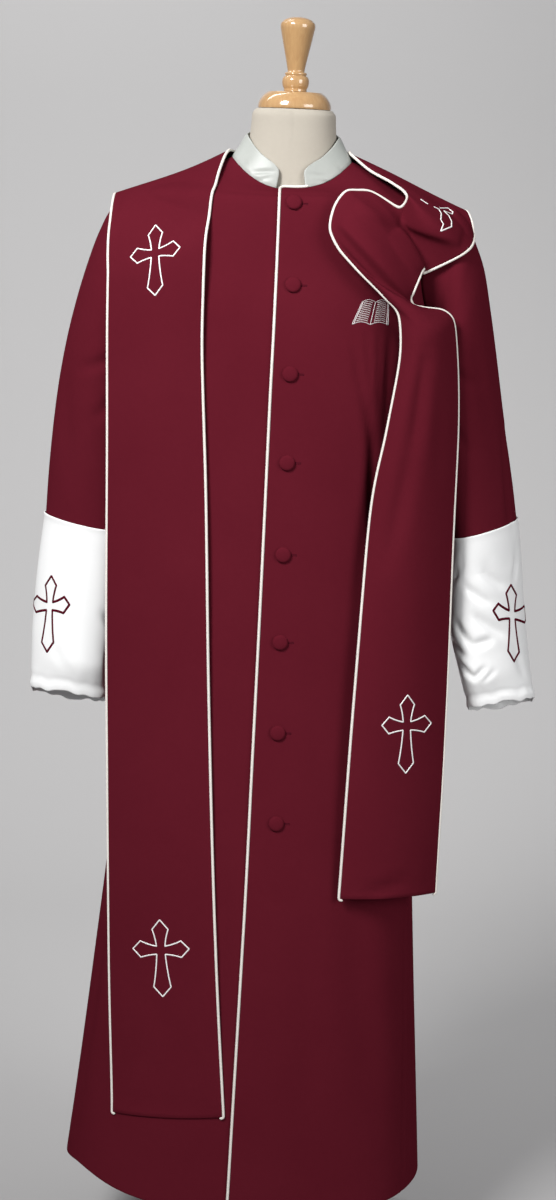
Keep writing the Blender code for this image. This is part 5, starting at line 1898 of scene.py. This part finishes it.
@dataclass(frozen=True)
class WovenFinish:
    """Cloth, satin or thread: two shades that mix unevenly, and a weave or twist in its surface."""

    finish: Finish
    shade: tuple[float, float, float]
    light: tuple[float, float, float]
    roughness: float
    sheen: float = 0.0
    pitch: float = 0.0006
    weave_depth: float = 0.00004
    anisotropic: float = 0.0
    gloss: float = 0.5

    def make(self, weave: bpy.types.NodeTree, mottle: bpy.types.NodeTree) -> None:
        """Makes the material."""
        material, shader = new_finish(self.finish.material)
        nodes, links = material.node_tree.nodes, material.node_tree.links
        shader.inputs["Roughness"].default_value = self.roughness
        shader.inputs["Sheen Weight"].default_value = self.sheen
        shader.inputs["Anisotropic"].default_value = self.anisotropic
        shader.inputs["Specular IOR Level"].default_value = self.gloss
        cloth_map = nodes.new("ShaderNodeUVMap")
        cloth_map.uv_map = CLOTH_MAP
        where = nodes.new("ShaderNodeTexCoord")
        uneven = nodes.new("ShaderNodeGroup")
        uneven.node_tree = mottle
        links.new(where.outputs["Object"], uneven.inputs["Place"])
        mix_colours(material.node_tree, uneven.outputs["Mask"], self.shade, self.light)
        threads = nodes.new("ShaderNodeGroup")
        threads.node_tree = weave
        threads.inputs["Pitch"].default_value = self.pitch
        links.new(cloth_map.outputs["UV"], threads.inputs["Place"])
        bump = nodes.new("ShaderNodeBump")
        bump.inputs["Distance"].default_value = self.weave_depth
        links.new(threads.outputs["Height"], bump.inputs["Height"])
        links.new(bump.outputs["Normal"], shader.inputs["Normal"])


@dataclass(frozen=True)
class MapleFinish:
    """Varnished maple with fine upright grain."""

    finish: Finish
    dark: tuple[float, float, float] = (0.36, 0.19, 0.080)
    pale: tuple[float, float, float] = (0.52, 0.33, 0.150)
    roughness: float = 0.18
    coat: float = 1.0
    grain_across: float = 55.0
    grain_along: float = 5.0
    grain_detail: float = 5.0
    grain_warp: float = 0.6

    def make(self) -> None:
        """Makes the material."""
        material, shader = new_finish(self.finish.material)
        nodes, links = material.node_tree.nodes, material.node_tree.links
        shader.inputs["Roughness"].default_value = self.roughness
        shader.inputs["Coat Weight"].default_value = self.coat
        where = nodes.new("ShaderNodeTexCoord")
        stretch = nodes.new("ShaderNodeMapping")
        stretch.inputs["Scale"].default_value = (self.grain_across, self.grain_across, self.grain_along)
        grain = nodes.new("ShaderNodeTexNoise")
        grain.inputs["Detail"].default_value = self.grain_detail
        grain.inputs["Distortion"].default_value = self.grain_warp
        links.new(where.outputs["Object"], stretch.inputs["Vector"])
        links.new(stretch.outputs["Vector"], grain.inputs["Vector"])
        mix_colours(material.node_tree, grain.outputs["Fac"], self.dark, self.pale)


@dataclass(frozen=True)
class PaintedMetal:
    """Satin grey paint on steel."""

    finish: Finish
    colour: tuple[float, float, float] = (0.18, 0.18, 0.19)
    roughness: float = 0.42
    coat: float = 0.25

    def make(self) -> None:
        """Makes the material."""
        _, shader = new_finish(self.finish.material)
        shader.inputs["Base Color"].default_value = (*self.colour, 1)
        shader.inputs["Roughness"].default_value = self.roughness
        shader.inputs["Coat Weight"].default_value = self.coat


def make_finishes() -> None:
    """Makes every material."""
    weave, mottle = woven_threads(), cloth_mottle()
    for woven in (
        WovenFinish(Finish.CLOTH, (0.082, 0.0069, 0.0138), (0.103, 0.0100, 0.0183), 0.8, gloss=0.0),
        WovenFinish(Finish.SATIN, (0.86, 0.86, 0.85), (0.91, 0.91, 0.905), 0.27, pitch=0.0004,
                    weave_depth=0.00001, anisotropic=0.5),
        # Collar satin: the same white satin painted darker grey, as painted shade.
        WovenFinish(Finish.COLLAR_SATIN, (0.33, 0.35, 0.325), (0.42, 0.43, 0.405), 0.32, pitch=0.0004,
                    weave_depth=0.00001, gloss=0.22),
        WovenFinish(Finish.PIPING, (0.68, 0.63, 0.57), (0.80, 0.76, 0.71), 0.5, pitch=0.0008),
        WovenFinish(Finish.LINEN, (0.40, 0.36, 0.300), (0.47, 0.43, 0.365), 0.85, pitch=0.0011,
                    weave_depth=0.0001),
        WovenFinish(Finish.WHITE_THREAD, (0.76, 0.74, 0.72), (0.88, 0.87, 0.86), 0.45),
        WovenFinish(Finish.BURGUNDY_THREAD, (0.060, 0.002, 0.009), (0.090, 0.004, 0.014), 0.6, gloss=0.0),
        WovenFinish(Finish.SILVER_THREAD, (0.44, 0.39, 0.39), (0.62, 0.57, 0.57), 0.4),
        # Buttonhole thread, painted dark as the painted shade of the slit.
        WovenFinish(Finish.HOLE_THREAD_SLIT_SHADE, (0.050, 0.003, 0.008), (0.070, 0.004, 0.012), 0.6, gloss=0.05),
    ):
        woven.make(weave, mottle)
    MapleFinish(Finish.MAPLE).make()
    PaintedMetal(Finish.METAL).make()


@dataclass
class Studio:
    """Camera, lights and a pale sweep, for a soft studio picture."""

    lens: float = 72.0
    camera_place: tuple[float, float, float] = (0.007, -3.4, 1.567)
    pitch: float = 9.86
    roll: float = 2.5
    sweep_width: float = 16.0
    sweep_front: float = -6.0
    sweep_back: float = 3.4
    sweep_height: float = 7.0
    sweep_bend: float = 1.8
    bend_steps: int = 24
    paper: tuple[float, float, float] = (0.460, 0.453, 0.450)
    paper_roughness: float = 0.9
    world: tuple[float, float, float] = (0.52, 0.53, 0.56)
    world_strength: float = 0.50
    lights: tuple[Lamp, ...] = (
        Lamp("key_light", (-1.7, -2.5, 3.3), (-0.05, 0.0, 1.42), 1.2, 24.5, 64.0),
        Lamp("fill_light", (2.5, -2.5, 2.2), (0.0, 0.0, 1.4), 1.8, 16.5, 90.0),
        Lamp("backdrop_light", (-1.2, 0.6, 3.4), (-0.3, 3.4, 2.6), 1.6, 100.0, 180.0),
    )

    def sweep(self) -> None:
        """Pale floor that curves up into a backdrop."""
        flat = [(self.sweep_front, 0.0), (self.sweep_back - self.sweep_bend, 0.0)]
        bend = [
            (
                self.sweep_back - self.sweep_bend + self.sweep_bend * math.sin(turn),
                self.sweep_bend * (1 - math.cos(turn)),
            )
            for turn in np.linspace(0, math.pi / 2, self.bend_steps)[1:]
        ]
        line = [*flat, *bend, (self.sweep_back, self.sweep_height)]
        half = self.sweep_width / 2
        points = [(x, y, z) for y, z in line for x in (-half, half)]
        faces = [(2 * k, 2 * k + 1, 2 * k + 3, 2 * k + 2) for k in range(len(line) - 1)]
        data = bpy.data.meshes.new("studio_sweep")
        data.from_pydata(points, [], faces)
        data.shade_smooth()
        data.materials.append(self.paper_finish())
        floor = bpy.data.objects.new("studio_sweep", data)
        bpy.context.scene.collection.objects.link(floor)

    def paper_finish(self) -> bpy.types.Material:
        """Matt paper that is clear from its far side, so that the back of the robe can be seen."""
        material, shader = new_finish("paper sweep")
        nodes, links = material.node_tree.nodes, material.node_tree.links
        shader.inputs["Base Color"].default_value = (*self.paper, 1)
        shader.inputs["Roughness"].default_value = self.paper_roughness
        clear = nodes.new("ShaderNodeBsdfTransparent")
        where = nodes.new("ShaderNodeNewGeometry")
        mixed = nodes.new("ShaderNodeMixShader")
        links.new(where.outputs["Backfacing"], mixed.inputs[0])
        links.new(shader.outputs["BSDF"], mixed.inputs[1])
        links.new(clear.outputs["BSDF"], mixed.inputs[2])
        links.new(mixed.outputs["Shader"], nodes["Material Output"].inputs["Surface"])
        return material

    def build(self) -> None:
        """Builds the sweep, the lights and the camera."""
        self.sweep()
        scene = bpy.context.scene
        for lamp in self.lights:
            data = bpy.data.lights.new(lamp.name, "AREA")
            data.size = lamp.size
            data.energy = lamp.power
            data.spread = math.radians(lamp.spread)
            light = bpy.data.objects.new(lamp.name, data)
            light.location = lamp.place
            way = Vector(lamp.aim) - Vector(lamp.place)
            light.rotation_euler = way.to_track_quat("-Z", "Y").to_euler()
            scene.collection.objects.link(light)
        world = bpy.data.worlds.new("studio")
        world.use_nodes = True
        ambient = world.node_tree.nodes["Background"]
        ambient.inputs["Color"].default_value = (*self.world, 1)
        ambient.inputs["Strength"].default_value = self.world_strength
        scene.world = world
        data = bpy.data.cameras.new("camera")
        data.lens = self.lens
        camera = bpy.data.objects.new("camera", data)
        camera.location = self.camera_place
        tilt = Matrix.Rotation(math.radians(90 - self.pitch), 3, "X")
        camera.rotation_euler = (tilt @ Matrix.Rotation(math.radians(self.roll), 3, "Z")).to_euler()
        scene.collection.objects.link(camera)
        scene.camera = camera
        scene.view_settings.view_transform = "Standard"


def main() -> None:
    """Builds the garment, the form and the studio in order."""
    logging.basicConfig(level=logging.INFO, format="%(message)s")
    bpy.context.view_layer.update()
    make_finishes()
    body = RobeBody()
    DressForm(body).build()
    cloths = Robe(body).build()
    cloths |= Collar(body).build()
    cloths |= Sleeve(
        Side.RIGHT, body, RIGHT_SLEEVE, RIGHT_CUFF, RIGHT_SLEEVE_CREASES, RIGHT_CUFF_CREASES
    ).build()
    cloths |= Sleeve(
        Side.LEFT, body, LEFT_SLEEVE, LEFT_CUFF, LEFT_SLEEVE_CREASES, LEFT_CUFF_CREASES
    ).build()
    under = list(cloths.values())
    trim = LapTrim(body)
    trim.piping()
    trim.build_buttons()
    cloths |= Stole(Side.RIGHT, RIGHT_STOLE, RIGHT_STOLE_CREASES).build(under)
    cloths |= Stole(Side.LEFT, LEFT_STOLE, LEFT_STOLE_CREASES, LEFT_STOLE_FOLDS).build(under)
    studio = Studio()
    Ornament(Embroidery(), trim, Vector(studio.camera_place)).build(cloths)
    studio.build()


if __name__ == "__main__":
    main()
